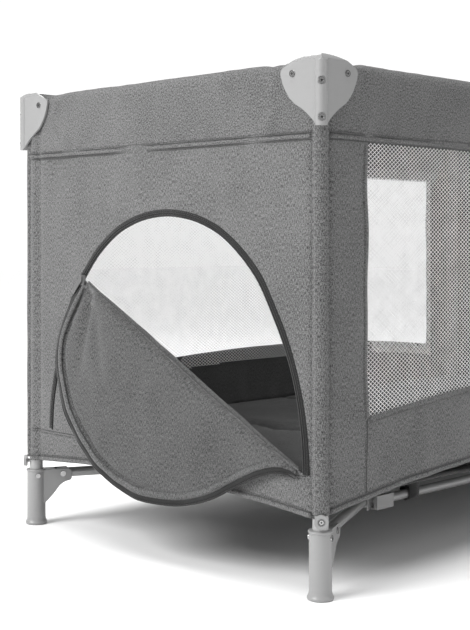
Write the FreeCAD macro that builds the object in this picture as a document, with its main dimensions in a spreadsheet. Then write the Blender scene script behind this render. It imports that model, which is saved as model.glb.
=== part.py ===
"""Folding travel cot with a zip-in door in one end wall.

Frame: +Z up, origin on the floor at the centre, X along the long sides, Y along the short sides.
The door is in the -X end wall. Lengths are millimetres.
"""
import FreeCAD, Part
import Sketcher
import os
import re

Vector = FreeCAD.Vector
Rotation = FreeCAD.Rotation
Placement = FreeCAD.Placement

# driving dimensions: alias, value, meaning
SIZES = [
    ("wall_x", 615, "centre to the outer face of an end wall"),
    ("wall_y", 331.5, "centre to the outer face of a long wall"),
    ("cloth", 2.5, "wall cloth with its padding"),
    ("leg_inset", 15, "wall face to leg axis"),
    ("leg_radius", 11, "leg tube"),
    ("leg_bore", 9.8, "leg tube, inside"),
    ("leg_foot", 12, "lower end of the leg tube"),
    ("leg_head", 714, "upper end of the leg tube"),
    ("rail_radius", 9, "top rail tube"),
    ("rail_bore", 7.8, "top rail tube, inside"),
    ("rail_height", 700, "top rail axis above the floor"),
    ("rail_pivot", 33, "leg axis to rail pin"),
    ("lock_half", 20, "middle of a rail to each pin of its lock"),
    ("pin_radius", 3, "pivot pins of rails and struts"),
    ("pin_gap", 0.1, "radial clearance of a pin in a tube"),
    ("stub", 8, "tube beyond its pin"),
    ("band_top", 716, "top of the padded band"),
    ("band_hem", 612, "lower hem of the padded band"),
    ("band_depth", 30, "padded band, outside to inside"),
    ("band_end", 60, "leg axis to the end of the folded-over band"),
    ("strut_radius", 8, "floor strut tube"),
    ("strut_bore", 6.8, "floor strut tube, inside"),
    ("strut_height", 83, "floor strut axis above the floor"),
    ("strut_pivot", 43, "leg axis to strut pin"),
    ("clip_reach", 200, "foot pin to clip pin along the strut"),
    ("bar_radius", 7, "floor bar tube"),
    ("bar_bore", 6, "floor bar tube, inside"),
    ("bar_inset", 13, "clip pin to bar axis, across"),
    ("bar_pin", 2.5, "floor bar pins"),
    ("foot_radius", 15.5, "foot body"),
    ("foot_height", 92, "foot"),
    ("flange_radius", 18, "foot flange"),
    ("arm_end", 58, "leg axis to the end of the foot's arm"),
    ("arm_half", 12, "half width of the foot's arm"),
    ("slot_half", 8.4, "half width of the slot for a strut"),
    ("foot_socket", 5, "room above the foot for the leg tube"),
    ("slot_start", 31, "leg axis to the start of that slot"),
    ("slot_drop", 3.5, "room under a strut in the slot"),
    ("foot_screw", 4, "screw through the foot into the leg"),
    ("foot_screw_out", 15.6, "leg axis to the middle of a foot screw"),
    ("foot_screw_half", 1.1, "half height of a foot screw"),
    ("foot_recess", 1.4, "foot screw to the middle of its recess"),
    ("strut_head", 4.8, "head of the strut pin"),
    ("strut_head_high", 1.5, "height of the strut pin's head"),
    ("bracket_gap", 0.3, "bracket to cloth"),
    ("bracket_wall", 3.7, "bracket shell"),
    ("bracket_reach", 55, "leg axis to the tip of a wing"),
    ("bracket_low", 628, "lower tip of the bracket"),
    ("bracket_high", 727, "top of the bracket"),
    ("rib_offset", 13, "leg axis to the axis of the bracket's upright rib, each way"),
    ("rib_radius", 8.7, "upright rib on the bracket's edge"),
    ("roof_in", 23, "leg axis to the inner edge of the bracket's roof"),
    ("roof_gap", 0.5, "band to the bracket's roof"),
    ("cheek_start", 8, "leg axis to the start of a cheek beside a rail"),
    ("cheek_end", 46, "leg axis to the end of a cheek"),
    ("cheek_gap", 0.5, "rail to cheek"),
    ("cheek_out", 3, "rail to the far face of a cheek"),
    ("cheek_low", 686, "lower edge of a cheek"),
    ("cheek_high", 717.5, "upper edge of a cheek"),
    ("rivet_head", 4.6, "head of a rail pin"),
    ("rivet_high", 1.6, "height of a rail pin's head"),
    ("screw_shank", 2, "bracket screw shank"),
    ("screw_head", 4.6, "bracket screw head"),
    ("screw_socket", 1.8, "bracket screw socket"),
    ("screw_high_head", 1.6, "height of a bracket screw's head"),
    ("screw_sunk", 1.9, "depth of the flat seat of a bracket screw"),
    ("screw_seat", 5.5, "flat seat of a bracket screw"),
    ("screw_high", 687, "upper bracket screw"),
    ("screw_low", 639, "lower bracket screw"),
    ("anchor_height", 106, "wall anchor on the leg"),
    ("anchor_radius", 9.5, "cap of the wall anchor"),
    ("anchor_out", 5, "sleeve to the top of the anchor's cap"),
    ("anchor_stem", 3, "stem of the wall anchor"),
    ("anchor_dish", 5, "dish in the anchor's cap"),
    ("anchor_floor", 3.4, "sleeve to the floor of the dish"),
    ("anchor_screw", 3.6, "screw in the dish"),
    ("anchor_screw_high", 1.2, "height of the screw in the dish"),
    ("lock_end", 34, "middle of a lock to its ends"),
    ("lock_out", 11.9, "middle of a lock to its outer faces"),
    ("lock_in", 9.4, "middle of a lock to its inner faces"),
    ("lock_drop", 8, "rail to the underside of its lock"),
    ("lock_floor", 3, "floor of a lock"),
    ("lock_rise", 7, "rail axis to the upper edge of a lock"),
    ("button_stem", 5, "stem of a lock button"),
    ("button_room", 0.2, "radial room of the stem"),
    ("button_cap", 8, "cap of a lock button"),
    ("button_drop", 10, "underside of a lock to the underside of its button"),
    ("button_thick", 4.5, "cap of a lock button, height"),
    ("ear_mid", 9.7, "strut axis to the middle of a clip ear"),
    ("ear_half", 1.3, "half thickness of a clip ear"),
    ("clip_low", 12, "strut axis to the clip's underside"),
    ("clip_top", 9, "strut axis to the clip's top beside the bar"),
    ("clip_wide", 11, "strut axis to the clip's side"),
    ("bridge_start", 9, "clip pin to the near face of its bridge"),
    ("bridge_end", 13, "clip pin to the far face of its bridge"),
    ("bridge_top", 8.6, "strut axis to the top of the bridge"),
    ("fork_out", 5.7, "bar axis to the outer faces of the clip's fork"),
    ("fork_in", 2.7, "bar axis to the inner faces of the clip's fork"),
    ("fork_half", 8, "half length of the clip's fork"),
    ("channel_end", 46, "clip pin to the end of the bar's channel"),
    ("channel_out", 9.5, "bar axis to the outside of its channel"),
    ("channel_in", 7.4, "bar axis to the inside of its channel"),
    ("channel_low", 9.3, "strut axis to the channel's floor"),
    ("channel_mid", 15, "clip pin to the start of the inner half of the floor"),
    ("channel_wall", 24, "clip pin to the start of the inner wall"),
    ("long_hem", 113, "lower edge of a long wall at the legs"),
    ("long_rise", 39, "rise of that edge in the middle"),
    ("short_hem", 108, "lower edge of an end wall at the legs"),
    ("short_rise", 16, "rise of that edge in the middle"),
    ("window_margin", 82, "leg axis to the net window"),
    ("window_lift", 112, "lower edge of the wall to the net window"),
    ("wall_hole", 0.6, "radial room of a rail pin in the wall cloth"),
    ("screw_hole", 3, "hole in the sleeve for a bracket screw"),
    ("net_inset", 0.8, "wall face to the net"),
    ("net", 1, "net window cloth"),
    ("door_off", 25, "middle of the end wall to the middle of the door"),
    ("door_foot", 165, "lower edge of the door"),
    ("door_half", 273.8, "half width of the door at its foot"),
    ("door_side_radius", 426, "side arcs of the door"),
    ("door_top_radius", 240, "top arc of the door"),
    ("door_top_centre", 272, "height of the top arc's centre"),
    ("door_joint", 413, "height where side and top arcs meet"),
    ("door_joint_half", 194.2, "half width of the door there"),
    ("flap_gap", 3, "door opening to the edge of the flap"),
    ("flap_stand", 2.3, "wall face to the flap when it hangs"),
    ("slider_room", 16, "flap cut back round the parked zip slider"),
    ("slider_half", 5, "half width of the zip slider"),
    ("slider_end", 8, "half length of the zip slider"),
    ("slider_out", 4.5, "height of the zip slider"),
    ("pull_length", 30, "pull tab of the slider"),
    ("pull_lean", 42, "lean of the pull tab, degrees"),
    ("mattress_x", 595, "half length of the mattress"),
    ("mattress_y", 311.5, "half width of the mattress"),
    ("mattress_low", 134, "underside of the mattress"),
    ("mattress_thick", 24, "mattress"),
    ("mattress_corner", 42, "corner radius of the mattress"),
    ("floor_low", 129.5, "underside of the floor cloth"),
    ("floor_thick", 2, "floor cloth"),
    ("floor_edge", 2, "leg axis to the edge of the floor cloth"),
    ("floor_hole", 50, "hole over the hub"),
    ("floor_corner", 24, "notch round a leg"),
    ("loop_in", 0.6, "floor bar to its webbing loop"),
    ("loop_out", 2.2, "floor bar to the outside of its loop"),
    ("hub_top", 127, "top of the hub's dome"),
    ("hub_thick", 5, "hub's roof"),
    ("hub_past_x", 15, "strut pin to the edge of the roof, along"),
    ("hub_past_y", 13, "strut pin to the edge of the roof, across"),
    ("hub_corner", 12, "corner radius of the roof"),
    ("hub_low", 72, "underside of the hub"),
    ("pillar_x", 18, "half length of the hub's pillar"),
    ("pillar_y", 19, "half width of the hub's pillar"),
    ("dome_end", 20, "top of the hub's dome, radius"),
    ("hub_ear_mid", 9.9, "strut axis to the middle of a hub ear"),
    ("hub_ear_half", 1.4, "half thickness of a hub ear"),
    ("hub_ear_reach", 12, "strut pin to the ends of a hub ear"),
    ("pull_half", 44, "half length of the pull strap"),
    ("pull_side", 12, "half width of the pull strap"),
    ("pull_thick", 2, "pull strap"),
    ("tongue_half", 2.5, "half thickness of a floor bar's tongue"),
    ("tongue_high", 6, "half height of the tongue at the clip"),
    ("tongue_end", 16, "clip pin to the end of the tongue"),
    ("pipe_start", 14, "clip pin to the start of the bar's tube"),
    ("joint_high", 5, "half height of the bar's middle joint"),
    ("prong_mid", 4.4, "bar axis to the middle of a prong"),
    ("prong_half", 1.6, "half thickness of a prong"),
    ("hub_roof", 95, "underside of the hub's roof"),
    ("bar_flat", 46, "flattened end of a floor bar at its middle joint"),
    ("strap_x", 283, "middle of the cot to a webbing loop"),
    ("strap_width", 25, "webbing loop"),
]

# sizes that follow from the driving ones
DERIVED = {
    "leg_x": "wall_x - leg_inset",
    "leg_y": "wall_y - leg_inset",
    "long_swing": "leg_x - rail_pivot - lock_half",
    "short_swing": "leg_y - rail_pivot - lock_half",
    "strut_angle": "atan(short_swing / long_swing)",
    "strut_length": "sqrt(long_swing ^ 2 + short_swing ^ 2)",
    "hub_x": "leg_x - strut_pivot * cos(strut_angle) - long_swing",
    "hub_y": "leg_y - strut_pivot * sin(strut_angle) - short_swing",
    "bar_length": "long_swing * (1 - clip_reach / strut_length)",
    "clip_x": "hub_x + bar_length",
    "clip_y": "hub_y + short_swing * (1 - clip_reach / strut_length)",
    "skin": "leg_inset - cloth",
    "shell_in": "leg_inset + bracket_gap",
    "shell_out": "leg_inset + bracket_gap + bracket_wall",
    "rib_out": "rib_offset * sqrt(2) + rib_radius",
    "screw_floor": "rib_out - screw_sunk",
    "pin_hole": "pin_radius + pin_gap",
    "lock_low": "rail_height - rail_radius - lock_drop",
}

CORNERS = {"door_front": (-1, -1), "far_front": (1, -1), "far_back": (1, 1), "door_back": (-1, 1)}
CORNER_TURN = {"door_front": 0, "far_front": 90, "far_back": 180, "door_back": 270}

AXIS_TURN = {
    "x": Rotation(Vector(0, 1, 0), 90),
    "y": Rotation(Vector(1, 0, 0), -90),
    "z": Rotation(),
    "outward": Rotation(Vector(0, 0, 1), Vector(-1, -1, 0)),
}
PLANE_TURN = {
    "xy": Rotation(),
    "xz": Rotation(Vector(1, 0, 0), 90),
    "yz": Rotation(Vector(1, 1, 1), 120),
}

doc = FreeCAD.newDocument("TravelCot")
sheet = doc.addObject("Spreadsheet::Sheet", "Sizes")
for row, (alias, size, meaning) in enumerate(SIZES, 1):
    sheet.set(f"A{row}", meaning)
    sheet.set(f"B{row}", str(size))
    sheet.setAlias(f"B{row}", alias)
doc.recompute()

ALIASES = {alias for alias, _, _ in SIZES}
NODES = []


# ---------------------------------------------------------------- helpers
def cells(text):
    """Turn a sum of size names into an expression on the sheet."""
    def name(match):
        word = match.group()
        if word in DERIVED:
            return "(" + cells(DERIVED[word]) + ")"
        return "Sizes." + word if word in ALIASES else word
    return re.sub(r"[a-z_]\w*", name, str(text))


def number(text):
    """The value of a sum of size names."""
    result = sheet.evalExpression(cells(text))
    return float(getattr(result, "Value", result))


def bind(thing, prop, text):
    thing.setExpression(prop, cells(text))


def place(thing, x=0, y=0, z=0, turn=None):
    """Put an object at x, y, z and turn it about +Z by an angle in degrees."""
    if turn is not None:
        thing.Placement = Placement(Vector(), Rotation(Vector(0, 0, 1), 1))
        bind(thing, "Placement.Rotation.Angle", turn)
    for axis, text in zip("xyz", (x, y, z)):
        bind(thing, f"Placement.Base.{axis}", text)
    return thing


def box(name, x, y, z):
    """A box between the two ends given for each axis."""
    thing = doc.addObject("Part::Box", name)
    for prop, (low, high) in zip(("Length", "Width", "Height"), (x, y, z)):
        bind(thing, prop, f"({high}) - ({low})")
    return place(thing, x[0], y[0], z[0])


def rod(name, radius, axis, start, end, at=(0, 0)):
    """A cylinder along x, y or z between two ends, at the two other coordinates."""
    thing = doc.addObject("Part::Cylinder", name)
    thing.Placement = Placement(Vector(), AXIS_TURN[axis])
    bind(thing, "Radius", radius)
    bind(thing, "Height", f"({end}) - ({start})")
    spot = {"x": (start, *at), "y": (at[0], start, at[1]), "z": (*at, start)}[axis]
    return place(thing, *spot)


def outward_rod(name, radius, start, end, height):
    """A cylinder that points diagonally out of the corner."""
    thing = doc.addObject("Part::Cylinder", name)
    thing.Placement = Placement(Vector(), AXIS_TURN["outward"])
    bind(thing, "Radius", radius)
    bind(thing, "Height", f"({end}) - ({start})")
    return place(thing, f"-({start}) * sqrt(0.5)", f"-({start}) * sqrt(0.5)", height)


def fuse(name, things):
    thing = doc.addObject("Part::MultiFuse", name)
    thing.Shapes = things
    return thing


def cut(name, base, tools):
    thing = doc.addObject("Part::Cut", name)
    thing.Base = base
    thing.Tool = tools[0] if len(tools) == 1 else fuse(name + "_tools", tools)
    return thing


def common(name, things):
    thing = doc.addObject("Part::MultiCommon", name)
    thing.Shapes = things
    return thing


def group(name, things):
    thing = doc.addObject("Part::Compound", name)
    thing.Links = things
    return thing


def mirror(name, thing, normal):
    image = doc.addObject("Part::Mirroring", name)
    image.Source = thing
    image.Normal = normal
    return image


def outline(name, points, plane):
    """A closed sketch of lines and three-point arcs: each step is a point, or a pair (via, end)."""
    sketch = doc.addObject("Sketcher::SketchObject", name)
    sketch.Placement = Placement(Vector(), PLANE_TURN[plane])
    here = Vector(*points[0])
    for step in points[1:] + points[:1]:
        if isinstance(step[0], tuple):
            via, end = Vector(*step[0]), Vector(*step[1])
            sketch.addGeometry(Part.Arc(here, via, end))
        else:
            end = Vector(*step)
            sketch.addGeometry(Part.LineSegment(here, end))
        here = end
    return sketch


def extrude(name, sketch, forward, back=0):
    thing = doc.addObject("Part::Extrusion", name)
    thing.Base = sketch
    thing.DirMode = "Normal"
    thing.Solid = True
    bind(thing, "LengthFwd", forward)
    bind(thing, "LengthRev", back)
    return thing


def new_body(name):
    """A PartDesign body and its base planes by role."""
    body = doc.addObject("PartDesign::Body", name)
    return body, {plane.Role: plane for plane in body.Origin.OriginFeatures}


def body_sketch(body, plane, name):
    sketch = body.newObject("Sketcher::SketchObject", name)
    sketch.AttachmentSupport = [(plane, "")]
    sketch.MapMode = "FlatFace"
    return sketch


def ring_pad(name, outer, inner, length):
    """A tube made by padding two circles."""
    body, planes = new_body(name)
    sketch = body_sketch(body, planes["XY_Plane"], name + "_ring")
    for radius in (outer, inner):
        circle = sketch.addGeometry(Part.Circle(Vector(), Vector(0, 0, 1), number(radius)))
        sketch.addConstraint(Sketcher.Constraint("Coincident", circle, 3, -1, 1))
        rule = sketch.addConstraint(Sketcher.Constraint("Radius", circle, number(radius)))
        bind(sketch, f"Constraints[{rule}]", radius)
    pad = body.newObject("PartDesign::Pad", name + "_pad")
    pad.Profile = sketch
    bind(pad, "Length", length)
    sketch.Visibility = False
    return body


def node(thing, label):
    """Record a finished piece under its node name."""
    thing.Label = label
    NODES.append(thing)
    return thing


def tube(name, outer, inner, start, end, holes, hole_radius):
    """A tube along x with cross holes along y."""
    drills = [rod(f"{name}_bore", inner, "x", start, end)]
    for count, spot in enumerate(holes):
        drills.append(rod(f"{name}_hole{count}", hole_radius, "y", f"-{outer}", outer, (spot, 0)))
    return cut(name, rod(f"{name}_rod", outer, "x", start, end), drills)


def arm_turn(corner):
    """Direction of the foot's arm and of the strut from a leg, about +Z."""
    x, y = CORNERS[corner]
    return f"{-y} * strut_angle" if x < 0 else f"180 deg + {y} * strut_angle"


# ---------------------------------------------------------------- legs
def leg_tube(corner):
    x, y = CORNERS[corner]
    body = ring_pad("Leg_" + corner, "leg_radius", "leg_bore", "leg_head - leg_foot")
    place(body, f"{x} * leg_x", f"{y} * leg_y", "leg_foot")
    node(body, "leg_tube_" + corner)


def shield(name, plane):
    """Side view of a bracket wing: domed top, rounded tip, concave flank down to the point."""
    reach = number("bracket_reach")
    high, low = number("bracket_high"), number("bracket_low")
    back = -number("rib_offset + rib_radius") - 1
    return outline(name, [
        (back, high - 15),
        ((-12, high - 4.4), (0, high - 0.8)),
        ((20, high - 5.3), (reach - 7, high - 17)),
        ((reach - 1.5, high - 20.5), (reach, high - 27)),
        ((reach - 9, high - 49), (29, high - 68)),
        ((6, high - 83), (-10, low)),
        (back, low),
    ], plane)


def shell_plan(name):
    """Plan of the bracket's shell: two wings that meet in a corner outside and a quarter ring inside."""
    reach, inner, outer = number("bracket_reach") + 1, number("shell_in"), number("shell_out")
    bend = 0.5 ** 0.5
    return outline(name, [
        (reach, -outer),
        (-outer, -outer),
        (-outer, reach),
        (-inner, reach),
        (-inner, 0),
        ((-inner * bend, -inner * bend), (0, -inner)),
        (reach, -inner),
    ], "xy")


def rib(name):
    """Upright rounded rib down the bracket's edge, hollowed for the sleeve up to the band's top."""
    spot = ("-rib_offset", "-rib_offset")
    return cut(name, rod(name + "_round", "rib_radius", "z", "bracket_low", "bracket_high", spot),
               [rod(name + "_hollow", "shell_in", "z", "bracket_low - 1", "band_top + roof_gap")])


def bracket(corner):
    """Shield-shaped corner cover with a clevis for each top rail; walls run along +X and +Y here."""
    name = "Bracket_" + corner
    shell = extrude(name + "_shell", shell_plan(name + "_plan"), "bracket_high - bracket_low")
    place(shell, "0", "0", "bracket_low")
    roof = box(name + "_roof", ("-shell_out", "roof_in"), ("-shell_out", "roof_in"),
               ("band_top + roof_gap", "bracket_high"))
    along, across = ("cheek_start", "cheek_end"), ("rail_radius + cheek_gap", "rail_radius + cheek_out")
    height = ("cheek_low", "cheek_high")
    cheeks = [box(name + "_cx", along, across, height), box(name + "_cy", across, along, height)]
    collar = rod(name + "_collar", "skin - 0.2", "z", *height)
    blank = fuse(name + "_blank", [shell, rib(name + "_rib"), roof, *cheeks, collar])
    wide = "bracket_reach + 5"
    trimmed = common(name + "_trim", [
        blank,
        extrude(name + "_sx", shield(name + "_sideX", "xz"), wide, wide),
        extrude(name + "_sy", shield(name + "_sideY", "yz"), wide, wide),
    ])
    drills = [
        rod(name + "_leg", "leg_radius", "z", "bracket_low - 1", "leg_head"),
        rod(name + "_px", "pin_hole", "y", "-rib_out", "rib_out", ("rail_pivot", "rail_height")),
        rod(name + "_py", "pin_hole", "x", "-rib_out", "rib_out", ("rail_pivot", "rail_height")),
    ]
    for spot in ("screw_high", "screw_low"):
        drills.append(outward_rod(f"{name}_{spot}", "screw_shank + pin_gap", "0", "rib_out + 1", spot))
        drills.append(outward_rod(f"{name}_{spot}_seat", "screw_seat", "screw_floor", "rib_out + 1", spot))
    x, y = CORNERS[corner]
    finished = cut(name, trimmed, drills)
    place(finished, f"{x} * leg_x", f"{y} * leg_y", "0", CORNER_TURN[corner])
    node(finished, "bracket_" + corner)


def foot_profile(name):
    """Half section of the foot's turned body: flared flange, straight body, rim."""
    body_r, flange_r = number("foot_radius"), number("flange_radius")
    top = number("foot_height")
    return outline(name, [
        (0, 0),
        (flange_r - 2, 0),
        ((flange_r - 0.6, 0.6), (flange_r, 2)),
        (flange_r, 4),
        ((body_r + 0.7, 8), (body_r, 14)),
        (body_r, top - 5),
        ((body_r + 0.3, top - 3), (body_r + 1.2, top - 2.5)),
        (body_r + 1.2, top - 0.8),
        (body_r + 0.4, top),
        (0, top),
    ], "xz")


def foot(corner):
    """Plastic foot: a turned body with a slotted arm for the strut, along +X here."""
    name = "Foot_" + corner
    turned = doc.addObject("Part::Revolution", name + "_turned")
    turned.Source = foot_profile(name + "_section")
    turned.Axis = Vector(0, 0, 1)
    turned.Angle = 360
    turned.Solid = True
    top, end = number("foot_height"), number("arm_end")
    arm_sketch = outline(name + "_side", [
        (0, 36),
        (13, 36),
        ((24, 47), (34, 59)),
        ((44, 68), (end - 4, 71)),
        ((end - 1, 73), (end, 77)),
        (end, top - 8),
        ((end - 2, top - 3), (end - 7, top - 1)),
        (0, top - 1),
    ], "xz")
    arm = extrude(name + "_arm", arm_sketch, "arm_half", "arm_half")
    drills = [
        rod(name + "_socket", "leg_radius", "z", "leg_foot", "foot_height + foot_socket"),
        box(name + "_slot", ("slot_start", "arm_end + 5"), ("-slot_half", "slot_half"),
            ("strut_height - strut_radius - slot_drop", "foot_height + foot_socket")),
        rod(name + "_pin", "pin_hole", "y", "-arm_half - 1", "arm_half + 1", ("strut_pivot", "strut_height")),
    ]
    for side in (-1, 1):
        drills.append(rod(f"{name}_screw{side + 1}", "foot_screw + pin_gap / 2", "y",
                          f"{side} * (foot_screw_out + foot_recess) - 2.5",
                          f"{side} * (foot_screw_out + foot_recess) + 2.5", ("0", "strut_height - 1")))
    x, y = CORNERS[corner]
    finished = cut(name, fuse(name + "_blank", [turned, arm]), drills)
    place(finished, f"{x} * leg_x", f"{y} * leg_y", "0", arm_turn(corner))
    node(finished, "foot_" + corner)


def hardware(corner):
    """Pins and screws of one leg: two rail pins, two bracket screws, strut pin and foot screws."""
    name = "Hardware_" + corner
    things = []
    for axis in "xy":
        shank = rod(f"{name}_rail_{axis}", "pin_radius", axis, "-shell_out", "rail_radius + cheek_out",
                    ("rail_pivot", "rail_height"))
        head = rod(f"{name}_railhead_{axis}", "rivet_head", axis, "-shell_out - rivet_high", "-shell_out",
                   ("rail_pivot", "rail_height"))
        things.append(fuse(f"{name}_railpin_{axis}", [shank, head]))
    for spot in ("screw_high", "screw_low"):
        screw = f"{name}_{spot}"
        shank = outward_rod(screw + "_shank", "screw_shank", "shell_in", "screw_floor", spot)
        head = outward_rod(screw + "_head", "screw_head", "screw_floor", "screw_floor + screw_high_head", spot)
        socket = outward_rod(screw + "_socket", "screw_socket", "screw_floor + screw_high_head / 3",
                             "screw_floor + screw_high_head + 1", spot)
        things.append(cut(screw, fuse(screw + "_blank", [shank, head]), [socket]))
    things.append(outward_rod(name + "_anchor", "anchor_screw", "leg_inset + anchor_floor",
                              "leg_inset + anchor_floor + anchor_screw_high", "anchor_height"))
    spot = ("strut_pivot", "strut_height")
    arm = [fuse(name + "_strut", [
        rod(name + "_strutpin", "pin_radius", "y", "-arm_half", "arm_half", spot),
        rod(name + "_strutlow", "strut_head", "y", "-arm_half - strut_head_high", "-arm_half", spot),
        rod(name + "_struthigh", "strut_head", "y", "arm_half", "arm_half + strut_head_high", spot),
    ])]
    for side in (-1, 1):
        arm.append(rod(f"{name}_footscrew{side + 1}", "foot_screw", "y",
                       f"{side} * foot_screw_out - foot_screw_half",
                       f"{side} * foot_screw_out + foot_screw_half",
                       ("0", "strut_height - 1")))
    arm_group = group(name + "_arm", arm)
    same_hand = corner in ("door_front", "far_back")
    place(arm_group, "0", "0", "0", "strut_angle" if same_hand else "90 deg - strut_angle")
    x, y = CORNERS[corner]
    finished = group(name, things + [arm_group])
    place(finished, f"{x} * leg_x", f"{y} * leg_y", "0", CORNER_TURN[corner])
    node(finished, "leg_fasteners_" + corner)


def anchor(corner):
    """Round cap with a dish for its screw, which holds the walls' lower corner to the leg."""
    name = "Anchor_" + corner
    cap = outward_rod(name + "_cap", "anchor_radius", "leg_inset + bracket_gap", "leg_inset + anchor_out",
                      "anchor_height")
    stem = outward_rod(name + "_stem", "anchor_stem", "leg_radius + 0.6", "leg_inset + bracket_gap",
                       "anchor_height")
    dish = outward_rod(name + "_dish", "anchor_dish", "leg_inset + anchor_floor", "leg_inset + anchor_out + 1",
                       "anchor_height")
    x, y = CORNERS[corner]
    finished = cut(name, fuse(name + "_blank", [cap, stem]), [dish])
    place(finished, f"{x} * leg_x", f"{y} * leg_y", "0", CORNER_TURN[corner])
    node(finished, "wall_anchor_" + corner)


# ---------------------------------------------------------------- top rails
def top_side(side, swing, x, y, turn):
    """Two half rails, the folding lock between them and its button, for one side."""
    for half, direction in (("a", -1), ("b", 1)):
        name = f"Rail_{side}_{half}"
        rail = tube(name, "rail_radius", "rail_bore", "-stub", f"{swing} + stub", ["0", swing], "pin_hole")
        along = f"{direction} * ({swing} + lock_half)"
        if turn:
            place(rail, x, along, "rail_height", f"{turn * -direction}")
        else:
            place(rail, along, y, "rail_height", "180" if direction > 0 else "0")
        node(rail, f"rail_{side}_{half}")
    lock(side, x, y, turn)
    button(side, x, y, turn)


def lock(side, x, y, turn):
    """Lock of a folding rail: a channel open at the top, with the two pins that the rails turn on."""
    name = "Lock_" + side
    along, side_z = ("-lock_end", "lock_end"), ("lock_low", "rail_height + lock_rise")
    things = [
        box(name + "_base", along, ("-lock_out", "lock_out"), ("lock_low", "lock_low + lock_floor")),
        box(name + "_left", along, ("-lock_out", "-lock_in"), side_z),
        box(name + "_right", along, ("lock_in", "lock_out"), side_z),
    ]
    for sign in (-1, 1):
        things.append(rod(f"{name}_pin{sign + 1}", "pin_radius", "y", "-lock_out", "lock_out",
                          (f"{sign} * lock_half", "rail_height")))
    hole = rod(name + "_hole", "button_stem + button_room", "z", "lock_low - 1", "lock_low + lock_floor + 1")
    channel = cut(name, fuse(name + "_blank", things), [hole])
    place(channel, x, y, "0", str(turn))
    node(channel, "lock_" + side)


def button(side, x, y, turn):
    """Press button under a lock: a wide cap on a stem that runs in the lock's base."""
    name = "Button_" + side
    cap_low = "lock_low - button_drop"
    press = fuse(name, [
        rod(name + "_stem", "button_stem", "z", f"{cap_low} + 3", "lock_low + lock_floor"),
        rod(name + "_cap", "button_cap", "z", cap_low, f"{cap_low} + button_thick"),
    ])
    place(press, x, y, "0", str(turn))
    node(press, "lock_button_" + side)


# ---------------------------------------------------------------- floor frame
def strut(corner):
    name = "Strut_" + corner
    x, y = CORNERS[corner]
    thing = tube(name, "strut_radius", "strut_bore", "-stub", "strut_length + stub",
                 ["0", "clip_reach", "strut_length"], "pin_hole")
    place(thing, f"{x} * (hub_x + long_swing)", f"{y} * (hub_y + short_swing)", "strut_height",
          arm_turn(corner))
    node(thing, "strut_" + corner)


def clip_shape(name):
    """Strut clip: two ears and a bridge on the strut's pin, and an open channel for the floor bar."""
    ears = []
    for sign in (-1, 1):
        ear = (f"{sign} * ear_mid - ear_half", f"{sign} * ear_mid + ear_half")
        ears.append(box(f"{name}_ear{sign + 1}", ("-clip_low", "bridge_end"), ear, ("-clip_low", "clip_low")))
    sides = ("-clip_wide", "clip_wide")
    bridge = box(name + "_bridge", ("bridge_start", "bridge_end"), sides, ("-clip_low", "-bridge_top"))
    saddle = fuse(name + "_saddle", [*ears, bridge, rod(name + "_pin", "pin_radius", "y", *sides)])
    place(saddle, "0", "0", "0", "strut_angle")
    fork, height = ("hub_x - fork_half", "hub_x + fork_half"), ("-clip_low", "clip_top")
    floor = ("-clip_low", "-channel_low")
    far, near = "-bar_inset - channel_out", "-bar_inset + channel_out"
    out, back = "-bar_inset - fork_out", "-bar_inset + fork_out"
    things = [
        saddle,
        box(name + "_fork1", fork, (out, "-bar_inset - fork_in"), height),
        box(name + "_fork2", ("hub_x - fork_half + 1", fork[1]), ("-bar_inset + fork_in", back), height),
        box(name + "_floor1", (fork[0], "channel_end"), (far, back), floor),
        box(name + "_floor2", ("channel_mid", "channel_end"), (back, near), floor),
        box(name + "_wall1", (fork[0], "channel_end"), (far, "-bar_inset - channel_in"), height),
        box(name + "_wall2", ("channel_wall", "channel_end"), ("-bar_inset + channel_in", near), height),
        box(name + "_web", fork, ("-bar_inset - channel_in - 0.1", out), height),
        rod(name + "_barpin", "bar_pin", "y", out, back, ("hub_x", "0")),
    ]
    return fuse(name, things)


def clip(corner):
    name = "Clip_" + corner
    x, y = CORNERS[corner]
    same_hand = corner in ("door_front", "far_back")
    shape = clip_shape(name)
    if not same_hand:
        shape = mirror(name + "_image", shape, Vector(1, 0, 0))
    place(shape, f"{x} * clip_x", f"{y} * clip_y", "strut_height", "180" if y > 0 else "0")
    node(shape, "strut_clip_" + corner)


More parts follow.
